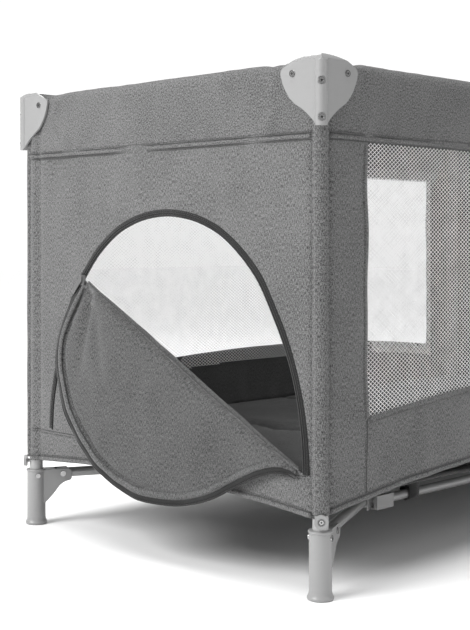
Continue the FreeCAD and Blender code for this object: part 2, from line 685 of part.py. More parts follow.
def bar(corner):
    """Half a floor bar: a tongue on the clip's pin, and a tongue or a fork with a pin in the middle."""
    name = "Bar_" + corner
    x, y = CORNERS[corner]
    forked = x > 0
    middle = ("bar_length", "0")
    flat, high = ("bar_length - bar_flat - 2", "bar_length"), ("-joint_high", "joint_high")
    sides = ("-tongue_half", "tongue_half")
    tongue = fuse(name + "_tongue", [
        box(name + "_t1", ("0", "tongue_end"), sides, ("-tongue_high", "tongue_high")),
        rod(name + "_t2", "tongue_high", "y", *sides),
    ])
    pipe = cut(name + "_pipe", rod(name + "_rod", "bar_radius", "x", "pipe_start", "bar_length - bar_flat"),
               [rod(name + "_bore", "bar_bore", "x", "pipe_start + 3", "bar_length - bar_flat - 3")])
    if forked:
        ends = []
        for sign in (-1, 1):
            prong = (f"{sign} * prong_mid - prong_half", f"{sign} * prong_mid + prong_half")
            ends.append(box(f"{name}_f{sign + 1}", flat, prong, high))
            ends.append(rod(f"{name}_e{sign + 1}", "joint_high", "y", *prong, middle))
        reach = "prong_mid + prong_half"
        ends.append(rod(name + "_pin", "bar_pin", "y", f"-({reach})", reach, middle))
        holes = ["0"]
    else:
        ends = [box(name + "_m1", flat, sides, high), rod(name + "_m2", "joint_high", "y", *sides, middle)]
        holes = ["0", "bar_length"]
    drills = [rod(f"{name}_hole{count}", "bar_pin + pin_gap", "y", "-bar_radius", "bar_radius", (spot, "0"))
              for count, spot in enumerate(holes)]
    finished = cut(name, fuse(name + "_blank", [tongue, pipe, *ends]), drills)
    place(finished, f"{x} * bar_length", f"{y} * (clip_y + bar_inset)", "strut_height", "180" if x > 0 else "0")
    node(finished, "floor_bar_" + corner)


def hub():
    """Centre hub: a roof with a clevis for each strut, open below, and a low dome on top."""
    roof = box("Hub_roof", ("-hub_x - hub_past_x", "hub_x + hub_past_x"),
               ("-hub_y - hub_past_y", "hub_y + hub_past_y"), ("hub_roof", "hub_roof + hub_thick"))
    rounded = doc.addObject("Part::Fillet", "Hub_rounded")
    rounded.Base = roof
    doc.recompute()
    radius = number("hub_corner")
    rounded.Edges = [(count, radius, radius) for count, edge in enumerate(roof.Shape.Edges, 1)
                     if abs(edge.Vertexes[0].Z - edge.Vertexes[-1].Z) > 1]
    height = ("hub_low", "hub_roof + 1")
    pillar = box("Hub_pillar", ("-pillar_x", "pillar_x"), ("-pillar_y", "pillar_y"), height)
    dome = doc.addObject("Part::Cone", "Hub_dome")
    bind(dome, "Radius1", "hub_x + hub_past_x - 1")
    bind(dome, "Radius2", "dome_end")
    bind(dome, "Height", "hub_top - hub_roof - hub_thick")
    place(dome, "0", "0", "hub_roof + hub_thick")
    things = [rounded, pillar, dome]
    for corner, (x, y) in CORNERS.items():
        name = "Hub_" + corner
        ears = []
        for sign in (-1, 1):
            ear = (f"{sign} * hub_ear_mid - hub_ear_half", f"{sign} * hub_ear_mid + hub_ear_half")
            ears.append(box(f"{name}_ear{sign + 1}", ("-hub_ear_reach", "hub_ear_reach"), ear, height))
        reach = "hub_ear_mid + hub_ear_half"
        ears.append(rod(f"{name}_pin", "pin_radius", "y", f"-({reach})", reach, ("0", "strut_height")))
        clevis = fuse(name, ears)
        place(clevis, f"{x} * hub_x", f"{y} * hub_y", "0", arm_turn(corner))
        things.append(clevis)
    node(fuse("Hub", things), "hub")
    strap = box("Pull", ("-pull_half", "pull_half"), ("-pull_side", "pull_side"),
                ("hub_top + pin_gap", "hub_top + pin_gap + pull_thick"))
    node(strap, "hub_pull_strap")


# ---------------------------------------------------------------- soft parts
def hem_disc(name, half, hem, rise, lift, y):
    """A disc whose top arc is the scalloped lower edge of a wall: low at the legs, high in the middle."""
    radius = f"(({half}) ^ 2 + ({rise}) ^ 2) / (2 * ({rise}))"
    return rod(name, radius, "y", y[0], y[1], ("0", f"{hem} + {rise} + {lift} - {radius}"))


def wall_blank(name, half, out, slab_half, hem):
    """Wall cloth with the padded band folded over the top rail; it runs along X, outside towards -Y."""
    face, back = f"-({out})", f"-({out}) + cloth"
    inner, deep = f"-({out}) + band_depth - cloth", f"-({out}) + band_depth"
    band = (f"-({half}) + band_end", f"({half}) - band_end")
    return [
        box(name + "_slab", (f"-({slab_half})", slab_half), (face, back), (hem, "band_top")),
        box(name + "_top", band, (face, deep), ("band_top - cloth", "band_top")),
        box(name + "_back", band, (inner, deep), ("band_hem", "band_top")),
    ]


def rail_holes(name, half, out):
    return [rod(f"{name}_pin{sign + 1}", "pin_hole + wall_hole", "y", f"-({out}) - 5", f"-({out}) + 5",
                (f"{sign} * (({half}) - rail_pivot)", "rail_height")) for sign in (-1, 1)]


def sleeve(name, sign):
    """Quarter of the cloth sleeve that rounds a leg, at one end of a long wall."""
    ring = cut(f"{name}_ring", rod(f"{name}_out", "leg_inset", "z", "long_hem", "band_top"),
               [rod(f"{name}_in", "skin", "z", "long_hem", "band_top"),
                outward_rod(f"{name}_anchor", "anchor_stem + pin_gap", "0", "rib_out", "anchor_height")])
    window = box(f"{name}_quarter", ("-2 * leg_inset", "0"), ("-2 * leg_inset", "0"), ("0", "bracket_high"))
    quarter = common(f"{name}_part", [ring, window])
    if sign > 0:
        quarter = mirror(f"{name}_image", quarter, Vector(1, 0, 0))
    return place(quarter, f"{sign} * leg_x", "-leg_y", "0")


def long_wall(side, turn):
    """Long wall with a net window between two strips of cloth."""
    name = "Wall_" + side
    blank = fuse(name + "_blank", wall_blank(name, "leg_x", "wall_y", "leg_x", "long_hem"))
    deep = ("-wall_y - 5", "-wall_y + 5")
    window = cut(name + "_window", box(name + "_opening", ("-leg_x + window_margin", "leg_x - window_margin"),
                                       deep, ("long_hem", "band_hem")),
                 [hem_disc(name + "_sill", "leg_x", "long_hem", "long_rise", "window_lift", deep)])
    lower = hem_disc(name + "_lower", "leg_x", "long_hem", "long_rise", "0", deep)
    cloth = cut(name + "_cloth", blank, [window, lower, *rail_holes(name, "leg_x", "wall_y")])
    screws = []
    for count, (sign, spot) in enumerate([(s, z) for s in (-1, 1) for z in ("screw_high", "screw_low")]):
        drill = rod(f"{name}_screw{count}", "screw_hole", "z", "-2 * leg_inset", "2 * leg_inset")
        drill.Placement = Placement(Vector(), Rotation(Vector(0, 0, 1), Vector(sign, -1, 0)))
        screws.append(place(drill, f"{sign} * (leg_x + 10)", "-leg_y - 10", spot))
    joined = fuse(name + "_joined", [cloth, sleeve(name + "_left", -1), sleeve(name + "_right", 1)])
    finished = cut(name, joined, screws)
    place(finished, "0", "0", "0", turn)
    node(finished, "wall_" + side)
    pane = common("Net_" + side, [window, box(name + "_net", ("-wall_x", "wall_x"),
                                              ("-wall_y + net_inset", "-wall_y + net_inset + net"),
                                              ("0", "bracket_high"))])
    place(pane, "0", "0", "0", turn)
    node(pane, "net_window_" + side)


def door_area(name, inset, deep):
    """Door outline: two side arcs, a top arc and the foot line, all drawn in by the inset."""
    middle = "door_off"
    side = f"door_side_radius - ({inset})"
    reach = "door_half - door_side_radius"
    things = []
    lower = common(name + "_lower", [
        rod(name + "_near", side, "y", *deep, (f"{middle} - ({reach})", "door_foot")),
        rod(name + "_far", side, "y", *deep, (f"{middle} + ({reach})", "door_foot")),
        box(name + "_belt", ("-wall_y", "wall_y"), deep, (f"door_foot + ({inset})", "door_joint")),
    ])
    things.append(lower)
    things.append(common(name + "_upper", [
        rod(name + "_arc", f"door_top_radius - ({inset})", "y", *deep, (middle, "door_top_centre")),
        box(name + "_cap", ("-wall_y", "wall_y"), deep, ("door_joint", "band_top")),
    ]))
    return fuse(name, things)


def above_crease(name, lift, deep):
    """Half plane above the crease, from the door's near foot corner to its far shoulder."""
    blade = doc.addObject("Part::Box", name)
    bind(blade, "Length", "2000")
    bind(blade, "Height", "1000")
    bind(blade, "Width", f"({deep[1]}) - ({deep[0]})")
    rise, run = "(door_joint - door_foot)", "(door_half + door_joint_half)"
    slope = f"atan({rise} / {run})"
    blade.Placement = Placement(Vector(), Rotation(Vector(0, 1, 0), 1))
    bind(blade, "Placement.Rotation.Angle", f"180 deg + {slope}")
    return place(blade, f"door_off + door_half + 700 * cos({slope}) + ({lift}) * sin({slope})", deep[0],
                 f"door_foot - 700 * sin({slope}) + ({lift}) * cos({slope})")


def door_crease():
    """The crease as seen in the closed door: near foot corner and the unit vector up the crease."""
    start = Vector(number("door_off + door_half"), 0, number("door_foot"))
    end = Vector(number("door_off - door_joint_half"), 0, number("door_joint"))
    return start, (end - start).normalize()


def end_wall(side, turn, has_door):
    name = "Wall_" + side
    half = "leg_y - bracket_gap"
    blank = fuse(name + "_blank", wall_blank(name, "leg_y", "wall_x", half, "short_hem"))
    deep = ("-wall_x - 5", "-wall_x + 5")
    tools = [hem_disc(name + "_lower", "leg_y", "short_hem", "short_rise", "0", deep),
             *rail_holes(name, "leg_y", "wall_x")]
    if has_door:
        below = above_crease(name + "_crease", "0", deep)
        tools.append(cut(name + "_doorway", door_area(name + "_door", "0", deep), [below]))
    finished = cut(name, blank, tools)
    place(finished, "0", "0", "0", turn)
    node(finished, "wall_" + side)


def door_flap():
    """Upper part of the door, folded outwards about the crease and hanging down."""
    deep = ("-wall_x", "-wall_x + cloth")
    below = above_crease("Flap_crease", "flap_gap", deep)
    shoulder = rod("Flap_shoulder", "slider_room", "y", *deep, ("door_off - door_joint_half", "door_joint"))
    closed = cut("Flap_closed", door_area("Flap_door", "flap_gap", deep), [below, shoulder])
    start, along = door_crease()
    hinge = Vector(start.x, -number("wall_x + flap_stand / 2"), start.z)
    folded = Placement(Vector(), Rotation(along, 180), hinge)
    turned = Placement(Vector(), Rotation(Vector(0, 0, 1), -90))
    closed.Placement = turned.multiply(folded)
    node(closed, "door_flap")


def zip_slider():
    """Slider and pull, parked at the far shoulder of the door on the outer face."""
    body = box("Slider_body", ("-slider_half", "slider_half"), ("-slider_out", "0"),
               ("-slider_end", "slider_end"))
    bail = box("Slider_bail", ("-slider_half / 2", "slider_half / 2"), ("-slider_out - 3", "-slider_out"),
               ("-2", "6"))
    pull = box("Slider_pull", ("-slider_half + 1", "slider_half - 1"), ("-slider_out - 3", "-slider_out - 1"),
               ("-pull_length", "0"))
    lean = place(group("Slider_lean", [pull]), "0", "0", "2")
    lean.Placement.Rotation = Rotation(Vector(0, 1, 0), number("pull_lean"))
    slider = fuse("Slider", [body, bail, lean])
    place(slider, "-wall_x - 0.4", "-(door_off - door_joint_half)", "door_joint", "-90")
    node(slider, "zip_slider")


def mattress():
    body, planes = new_body("Mattress")
    sketch = body_sketch(body, planes["XY_Plane"], "Mattress_plan")
    half_x, half_y = number("mattress_x"), number("mattress_y")
    corners = [Vector(x * half_x, y * half_y) for x, y in CORNERS.values()]
    for here, there in zip(corners, corners[1:] + corners[:1]):
        sketch.addGeometry(Part.LineSegment(here, there))
    for edge in range(4):
        sketch.addConstraint(Sketcher.Constraint("Coincident", edge, 2, (edge + 1) % 4, 1))
        sketch.addConstraint(Sketcher.Constraint("Vertical" if edge % 2 else "Horizontal", edge))
    sketch.addConstraint(Sketcher.Constraint("Symmetric", 0, 1, 1, 2, -1, 1))
    for edge, prop in ((0, "2 * mattress_x"), (1, "2 * mattress_y")):
        rule = sketch.addConstraint(Sketcher.Constraint("Distance", edge, number(prop)))
        bind(sketch, f"Constraints[{rule}]", prop)
    pad = body.newObject("PartDesign::Pad", "Mattress_pad")
    pad.Profile = sketch
    bind(pad, "Length", "mattress_thick")
    doc.recompute()
    upright = [f"Edge{count}" for count, edge in enumerate(pad.Shape.Edges, 1)
               if abs(edge.Vertexes[0].Z - edge.Vertexes[-1].Z) > 1]
    rounds = body.newObject("PartDesign::Fillet", "Mattress_corners")
    rounds.Base = (pad, upright)
    bind(rounds, "Radius", "mattress_corner")
    place(body, "0", "0", "mattress_low")
    node(body, "mattress")


def floor_cloth():
    """Cloth floor with a hole over the hub, and webbing loops that hold the floor bars."""
    plate = box("Floor_plate", ("-leg_x + floor_edge", "leg_x - floor_edge"),
                ("-leg_y + floor_edge", "leg_y - floor_edge"), ("floor_low", "floor_low + floor_thick"))
    notches = [rod("Floor_hole", "floor_hole", "z", "0", "2 * floor_low")]
    for corner, (x, y) in CORNERS.items():
        notches.append(rod("Floor_" + corner, "floor_corner", "z", "0", "2 * floor_low",
                           (f"{x} * leg_x", f"{y} * leg_y")))
    things = [cut("Floor_cut", plate, notches)]
    for corner, (x, y) in CORNERS.items():
        name = "Loop_" + corner
        across = (f"{x} * strap_x - strap_width / 2", f"{x} * strap_x + strap_width / 2")
        middle = f"{y} * (clip_y + bar_inset)"
        outer, inner = [fuse(f"{name}_{gap}", [
            rod(f"{name}_{gap}_rod", f"bar_radius + {gap}", "x", *across, (middle, "strut_height")),
            box(f"{name}_{gap}_box", across,
                (f"{middle} - bar_radius - {gap}", f"{middle} + bar_radius + {gap}"),
                ("strut_height", "floor_low")),
        ]) for gap in ("loop_out", "loop_in")]
        things.append(cut(name, outer, [inner]))
    node(fuse("Floor", things), "floor_cloth")


# ---------------------------------------------------------------- assembly
for corner_name in CORNERS:
    leg_tube(corner_name)
    bracket(corner_name)
    foot(corner_name)
    hardware(corner_name)
    anchor(corner_name)
    strut(corner_name)
    clip(corner_name)
    bar(corner_name)
top_side("front", "long_swing", "0", "-leg_y", 0)
top_side("back", "long_swing", "0", "leg_y", 0)
top_side("door", "short_swing", "-leg_x", "0", 90)
top_side("far", "short_swing", "leg_x", "0", 90)
hub()
long_wall("front", "0")
long_wall("back", "180")
end_wall("door_end", "-90", True)
end_wall("far_end", "90", False)
door_flap()
zip_slider()
mattress()
floor_cloth()

doc.recompute()
for thing in doc.Objects:
    if {"Invalid", "Error"} & set(thing.State):
        raise RuntimeError(f"{thing.Name} did not compute: {thing.State}")
for thing in NODES:
    if thing.Shape.isNull() or not thing.Shape.isValid() or not thing.Shape.Solids:
        raise RuntimeError(f"{thing.Label} has no valid solid")

os.makedirs("parts", exist_ok=True)
for thing in NODES:
    thing.Shape.exportStep(os.path.join("parts", thing.Label + ".step"))
    bounds = thing.Shape.BoundBox
    print(f"{thing.Label:28s} solids {len(thing.Shape.Solids)} volume {thing.Shape.Volume / 1000:9.2f} cm3 "
          f"x {bounds.XMin:8.2f} {bounds.XMax:8.2f} y {bounds.YMin:8.2f} {bounds.YMax:8.2f} "
          f"z {bounds.ZMin:7.2f} {bounds.ZMax:7.2f}")
print(len(NODES), "nodes")
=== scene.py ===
import math
import bpy
import numpy as np
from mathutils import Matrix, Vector
from mathutils.geometry import delaunay_2d_cdt


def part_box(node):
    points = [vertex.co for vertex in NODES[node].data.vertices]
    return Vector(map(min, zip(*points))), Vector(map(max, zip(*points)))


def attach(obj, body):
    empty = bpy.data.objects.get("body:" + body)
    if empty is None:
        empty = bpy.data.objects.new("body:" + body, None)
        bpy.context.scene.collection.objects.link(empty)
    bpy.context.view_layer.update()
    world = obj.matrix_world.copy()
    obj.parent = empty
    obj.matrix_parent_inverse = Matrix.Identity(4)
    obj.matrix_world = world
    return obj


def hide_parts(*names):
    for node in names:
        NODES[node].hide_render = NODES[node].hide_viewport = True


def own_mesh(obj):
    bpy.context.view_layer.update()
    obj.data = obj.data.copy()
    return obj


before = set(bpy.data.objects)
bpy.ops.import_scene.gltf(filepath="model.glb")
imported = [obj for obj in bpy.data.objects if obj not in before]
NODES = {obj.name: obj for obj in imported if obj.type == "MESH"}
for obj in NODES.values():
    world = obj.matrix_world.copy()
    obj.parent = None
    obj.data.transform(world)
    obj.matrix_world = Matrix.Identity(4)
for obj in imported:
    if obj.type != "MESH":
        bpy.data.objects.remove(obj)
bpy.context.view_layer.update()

# ---- sizes, in metres
WALL_X, WALL_Y = 0.615, 0.3315  # outer faces of the end and long walls
INSET = 0.015  # wall face to leg axis
WALL_END = 0.0005  # leg axis to the sewn end of the wall cloth
COLUMN = 0.026  # leg axis to the seam where an end wall wraps a back leg
LEG_X, LEG_Y = WALL_X - INSET, WALL_Y - INSET
BAND_HEM, BAND_TOP = 0.612, 0.716
TUCK = 0.010  # wall cloth above the band's hem
LONG_HEM, LONG_RISE = 0.113, 0.039
SHORT_HEM, SHORT_RISE = 0.108, 0.016
WINDOW = LEG_X - 0.082  # half width of the net window
WINDOW_LIFT = 0.112  # lower edge of the wall to the net
NET_SEAM = 0.012  # net beyond each side of its window
HEM_SHORT = 0.004  # end of the cloth to the end of its hem
CHEEK = 0.050  # leg axis to the edge of a bracket's cheek
SLEEVE_OUT, SLEEVE_IN = 0.0152, 0.0128  # sleeve radius outside and inside the cot
SLEEVE_NIP = 0.0030  # dip where a sleeve meets a wall
SLEEVE_TOP = 0.684
PAD_CORNER, FLOOR_CORNER = 0.042, 0.079
FLOOR_LEVEL = 0.1315  # top of the floor cloth
BAR_Z, BAR_R = 0.083, 0.0092  # floor bar, with the radius of the webbing round it
LOOP_X, LOOP_HALF = 0.283, 0.0125  # place of a webbing loop and half its width
DOOR_MIDDLE = 0.025
DOOR_FOOT, DOOR_HALF = 0.165, 0.2738
DOOR_SIDE_R, DOOR_TOP_R, DOOR_TOP_Z = 0.426, 0.240, 0.272
DOOR_JOINT, DOOR_JOINT_HALF = 0.413, 0.1942
CREASE_SAG = 0.0045
CLOTH = 0.002
FLOOR_GAP = 0.0050  # outer face of a wall to the edge of the floor cloth
TAPE = 0.011  # zip tape beside the doorway
FINE, COARSE = 0.006, 0.008  # steps along trims and along cut edges

WALLS = {
    "front": {"corner": "door_front", "half": LEG_X, "plane": WALL_Y, "turn": 0, "node": "wall_front"},
    "far": {"corner": "far_front", "half": LEG_Y, "plane": WALL_X, "turn": 1, "node": "wall_far_end"},
    "back": {"corner": "door_back", "half": LEG_X, "plane": WALL_Y, "turn": 2, "node": "wall_back"},
    "door": {"corner": "door_front", "half": LEG_Y, "plane": WALL_X, "turn": 3, "node": "wall_door_end"},
}
LONG_WALLS = ("front", "back")
CORNERS = {"door_front": (-1, -1), "far_front": (1, -1), "far_back": (1, 1), "door_back": (-1, 1)}


def on_wall(wall, along, out, up):
    """Points given along a wall as seen from outside, outwards from its face, and up."""
    along, out, up = np.broadcast_arrays(along, out, up)
    x, y = along, -(WALLS[wall]["plane"] + out)
    for _ in range(WALLS[wall]["turn"]):
        x, y = -y, x
    return np.stack([x, y, up], -1)


def wall_out(wall):
    """Outward direction of a wall."""
    return on_wall(wall, 0.0, 1.0, 0.0) - on_wall(wall, 0.0, 0.0, 0.0)


def gather(piece):
    """The piece gets its own copy of its mesh."""
    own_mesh(piece)


def fold_with(piece, wall):
    """The piece rides on its wall's leg, with its own copy of its mesh."""
    gather(piece)
    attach(piece, "leg_" + WALLS[wall]["corner"])


# ---- materials
class Shader:
    """A node material; constants go on the shader's own sockets."""

    def __init__(self, name, **sockets):
        self.mat = bpy.data.materials.new(name)
        self.mat.use_nodes = True
        self.tree = self.mat.node_tree
        self.bsdf = self.tree.nodes["Principled BSDF"]
        for key, value in sockets.items():
            self.bsdf.inputs[key.replace("_", " ")].default_value = value

    def node(self, kind, links=None, **props):
        n = self.tree.nodes.new("ShaderNode" + kind)
        for key, value in props.items():
            setattr(n, key, value)
        for key, value in (links or {}).items():
            socket = n.inputs[key]
            if isinstance(value, bpy.types.NodeSocket):
                self.tree.links.new(value, socket)
            else:
                socket.default_value = value
        return n

    def coords(self, scale, cloth):
        """Cloth coordinates in metres, or the place in the row frame, times a scale."""
        if cloth:
            source = self.node("UVMap", uv_map="cloth").outputs["UV"]
        else:
            source = self.node("TexCoord").outputs["Object"]
        return self.node("Mapping", {"Vector": source, "Scale": scale}).outputs["Vector"]

    def noise(self, scale, detail, rough, cloth=True):
        n = self.node("TexNoise", {"Vector": self.coords(scale, cloth), "Scale": 1.0,
                                   "Detail": detail, "Roughness": rough})
        return n.outputs["Fac"]

    def math(self, operation, a, b=0.0):
        return self.node("Math", {0: a, 1: b}, operation=operation).outputs[0]

    def blend(self, parts):
        """Weighted sum of values."""
        total = None
        for value, weight in parts:
            term = self.math("MULTIPLY", value, weight)
            total = term if total is None else self.math("ADD", total, term)
        return total

    def colour(self, value, stops):
        """Grey base colour from (place, tone) stops along a value."""
        n = self.node("ValToRGB", {"Fac": value})
        while len(n.color_ramp.elements) < len(stops):
            n.color_ramp.elements.new(0.5)
        for element, (at, tone) in zip(n.color_ramp.elements, stops):
            element.position = at
            element.color = (tone, tone, tone, 1)
        self.tree.links.new(n.outputs["Color"], self.bsdf.inputs["Base Color"])

    def roughness(self, value, low, high):
        n = self.node("MapRange", {"Value": value, "To Min": low, "To Max": high})
        self.tree.links.new(n.outputs["Result"], self.bsdf.inputs["Roughness"])

    def bump(self, height, distance, strength, soft_edge=0.0):
        links = {"Height": height, "Distance": distance, "Strength": strength}
        if soft_edge:
            links["Normal"] = self.node("Bevel", {"Radius": soft_edge}, samples=4).outputs["Normal"]
        n = self.node("Bump", links)
        self.tree.links.new(n.outputs["Normal"], self.bsdf.inputs["Normal"])

    def weave(self, pitch, twill=False):
        """Plain or twill weave height from the cloth coordinates."""
        split = self.node("SeparateXYZ", {"Vector": self.coords((1, 1, 1), True)})
        turn = 2 * math.pi / pitch
        if twill:
            across = self.math("ADD", split.outputs["X"], split.outputs["Y"])
            return self.math("SINE", self.math("MULTIPLY", across, turn))
        u = self.math("SINE", self.math("MULTIPLY", split.outputs["X"], turn))
        v = self.math("SINE", self.math("MULTIPLY", split.outputs["Y"], turn))
        return self.math("MULTIPLY", u, v)


def melange(name, dark, light, along=1.0):
    """Heathered woven polyester: streaks along warp and weft over a plain weave."""
    s = Shader(name, Roughness=0.92, Sheen_Weight=0.18, Sheen_Roughness=0.45, Specular_IOR_Level=0.22)
    warp = s.noise((1000 * along, 230 / along, 1), 3.0, 0.7)
    weft = s.noise((230 * along, 900 / along, 1), 3.0, 0.7)
    speck = s.noise((820, 820, 1), 2.0, 0.65)
    cloud = s.noise((9, 9, 1), 2.0, 0.5)
    mixed = s.blend([(warp, 0.50), (weft, 0.18), (speck, 0.27), (cloud, 0.05)])
    middle = dark * 0.45 + light * 0.55
    s.colour(mixed, [(0.44, dark), (0.5, middle), (0.56, light)])
    s.bump(s.blend([(s.weave(0.0013), 0.35), (warp, 0.5), (speck, 0.5)]), 0.0006, 0.7)
    return s.mat


def moulded(name, tone, rough, coat, soft_edge):
    """Moulded plastic: faint flow marks, fine grain and softened edges."""
    s = Shader(name, Specular_IOR_Level=0.5, Coat_Weight=coat, Coat_Roughness=0.08)
    flow = s.noise((12, 12, 7), 3.0, 0.55, cloth=False)
    fine = s.noise((900, 900, 900), 2.0, 0.6, cloth=False)
    scuff = s.noise((70, 70, 260), 4.0, 0.7, cloth=False)
    s.colour(s.blend([(flow, 0.7), (scuff, 0.3)]), [(0.3, tone * 0.95), (0.5, tone), (0.72, tone * 1.04)])
    s.roughness(scuff, rough * 0.8, rough * 1.25)
    s.bump(fine, 0.0001, 0.25, soft_edge)
    return s.mat


def metal(name, tone, rough, metallic, grain):
    """Metal or paint: fine grain, smudges and softened edges."""
    s = Shader(name, Metallic=metallic, Specular_IOR_Level=0.5)
    drawn = s.noise(grain, 3.0, 0.6, cloth=False)
    smudge = s.noise((25, 25, 25), 3.0, 0.6, cloth=False)
    s.colour(s.blend([(drawn, 0.5), (smudge, 0.5)]), [(0.3, tone * 0.92), (0.7, tone * 1.05)])
    s.roughness(smudge, rough * 0.75, rough * 1.3)
    s.bump(drawn, 0.00005, 0.3, 0.0004)
    return s.mat


def thread(name, tone, rough, pitch=0.0009):
    """Sewing thread, tape and webbing: twisted or ribbed yarn."""
    s = Shader(name, Roughness=rough, Sheen_Weight=0.2, Sheen_Roughness=0.4, Specular_IOR_Level=0.35)
    fleck = s.noise((700, 700, 1), 3.0, 0.65)
    cloud = s.noise((40, 40, 1), 2.0, 0.5)
    s.colour(s.blend([(fleck, 0.7), (cloud, 0.3)]), [(0.34, tone * 0.72), (0.5, tone), (0.66, tone * 1.3)])
    s.bump(s.blend([(s.weave(pitch, twill=True), 0.5), (fleck, 0.5)]), 0.0003, 0.6)
    return s.mat


MELANGE = melange("melange_cloth", dark=0.031, light=0.205)
# painted shade: a darker copy of the wall cloth for the hanging flap and the facing under its fold
MELANGE_PAINTED_SHADE = melange("melange_painted_shade", dark=0.018, light=0.132)
MELANGE_BAND = melange("melange_band", dark=0.030, light=0.196, along=0.6)
# painted shade: a darker copy of the wall cloth for the faces inside the cot, the inside of the band and the floor
# cloth
PAINTED_SHADE_CLOTH = melange("painted_shade_cloth", dark=0.028, light=0.085)
PAD_CLOTH = melange("mattress_cloth", dark=0.006, light=0.019, along=0.6)
BINDING = melange("edge_binding", dark=0.020, light=0.160)
ZIP_TAPE = thread("zip_tape", tone=0.012, rough=0.75)
ZIP_COIL = thread("zip_coil", tone=0.006, rough=0.45)
STITCH = thread("stitch_thread", tone=0.045, rough=0.6)
NET = thread("net_thread", tone=0.88, rough=0.75)
WEBBING = thread("webbing", tone=0.018, rough=0.7, pitch=0.0016)
GLOSS = moulded("bracket_plastic", tone=0.275, rough=0.24, coat=0.45, soft_edge=0.0014)
SATIN = moulded("foot_plastic", tone=0.27, rough=0.38, coat=0.15, soft_edge=0.0009)
HIDDEN = moulded("hidden_plastic", tone=0.06, rough=0.5, coat=0.0, soft_edge=0.0006)
STEEL = metal("painted_steel", tone=0.34, rough=0.34, metallic=0.35, grain=(60, 60, 1400))
BRIGHT = metal("plated_steel", tone=0.42, rough=0.25, metallic=1.0, grain=(500, 500, 500))
# painted shade for the screw heads' rim gaps and sockets
RECESS_SHADE = metal("screw_recess_shade", tone=0.035, rough=0.45, metallic=0.6, grain=(500, 500, 500))
ZIP_METAL = metal("zip_metal", tone=0.30, rough=0.28, metallic=1.0, grain=(400, 400, 400))

FINISHES = (("bracket_", GLOSS), ("foot_", SATIN), ("wall_anchor_", SATIN), ("strut_clip_", SATIN),
            ("leg_fasteners_", BRIGHT), ("lock", HIDDEN), ("hub", HIDDEN), ("zip_slider", ZIP_METAL), ("", STEEL))
for node, ob in NODES.items():
    ob.data.materials.clear()
    ob.data.materials.append(next(finish for start, finish in FINISHES if node.startswith(start)))


# ---- mesh tools
def clamp(x):
    return np.clip(x, 0, 1)


def bell(x, width):
    return np.exp(-(x / width) ** 2)


def unit(rows):
    return rows / np.linalg.norm(rows, axis=1)[:, None]


def full_turn(count):
    return np.linspace(0, 2 * math.pi, count, endpoint=False)


def run(line):
    """Distance along a line at each of its points."""
    return np.concatenate([[0], np.cumsum(np.linalg.norm(np.diff(line, axis=0), axis=1))])


def ripple(u, v, size, seed, stretch=1.0):
    """Smooth, repeatable unevenness of about unit height; size is the length of a wave."""
    rng = np.random.default_rng(seed)
    total = np.zeros(np.broadcast(u, v).shape)
    for angle, phase, fine in zip(rng.uniform(0, math.pi, 9), rng.uniform(0, 6.28, 9), rng.uniform(0.6, 1.7, 9)):
        turn = 2 * math.pi * fine / size
        total += np.sin(turn * (u * math.cos(angle) + v * math.sin(angle) / stretch) + phase)
    return total / 3


def mesh_piece(name, points, faces, uv, material, smooth=True):
    """A mesh object; uv is per point, in metres of cloth."""
    mesh = bpy.data.meshes.new(name)
    mesh.from_pydata([tuple(p) for p in points], [], [tuple(f) for f in faces])
    layer = mesh.uv_layers.new(name="cloth")
    loops = np.empty(len(mesh.loops), int)
    mesh.loops.foreach_get("vertex_index", loops)
    layer.data.foreach_set("uv", np.asarray(uv, float)[loops].ravel())
    mesh.materials.append(material)
    if smooth:
        mesh.shade_smooth()
    piece = bpy.data.objects.new(name, mesh)
    bpy.context.scene.collection.objects.link(piece)
    return piece


def per_point(mesh, what):
    """The "co" or "normal" of every vertex."""
    values = np.empty((len(mesh.vertices), 3))
    mesh.vertices.foreach_get(what, values.ravel())
    return values


def belt(low, high, count):
    """Faces between two closed rows of points, which start at low and high."""
    return [(low + k, low + (k + 1) % count, high + (k + 1) % count, high + k) for k in range(count)]


def tube_piece(name, points, uv, material, capped=False):
    """A rows x columns x 3 array as a mesh whose last column joins the first."""
    rows, columns = points.shape[:2]
    faces = []
    for row in range(rows - 1):
        faces += belt(row * columns, (row + 1) * columns, columns)
    if capped:
        faces.append(tuple(range(columns))[::-1])
        faces.append(tuple((rows - 1) * columns + k for k in range(columns)))
    return mesh_piece(name, points.reshape(-1, 3), faces, uv.reshape(-1, 2), material)


def thicken(piece, thick, inner_shade=None):
    """Thickness inwards; the optional second material goes on the inner face, a darker cloth as painted shade."""
    solid = piece.modifiers.new("thickness", "SOLIDIFY")
    solid.thickness, solid.offset, solid.use_even_offset = thick, -1.0, False
    if inner_shade:
        piece.data.materials.append(inner_shade)
        solid.material_offset = 1
    return piece


def resample(line, step, closed=False):
    """Points about step apart along a polyline; its own corners stay."""
    line = [np.asarray(p, float) for p in line]
    made = []
    for here, there in zip(line, line[1:] + ([line[0]] if closed else [])):
        count = max(1, round(float(np.linalg.norm(there - here)) / step))
        made += [here + (there - here) * k / count for k in range(count)]
    if not closed:
        made.append(line[-1])
    return np.array(made)


def inside(points, loop):
    """Which points lie in a closed loop."""
    x, y = points[:, :1], points[:, 1:2]
    ax, ay = loop[:, 0], loop[:, 1]
    bx, by = np.roll(ax, -1), np.roll(ay, -1)
    crosses = (ay > y) != (by > y)
    safe = np.where(by == ay, 1.0, by - ay)
    return (crosses & (x < (bx - ax) * (y - ay) / safe + ax)).sum(1) % 2 == 1


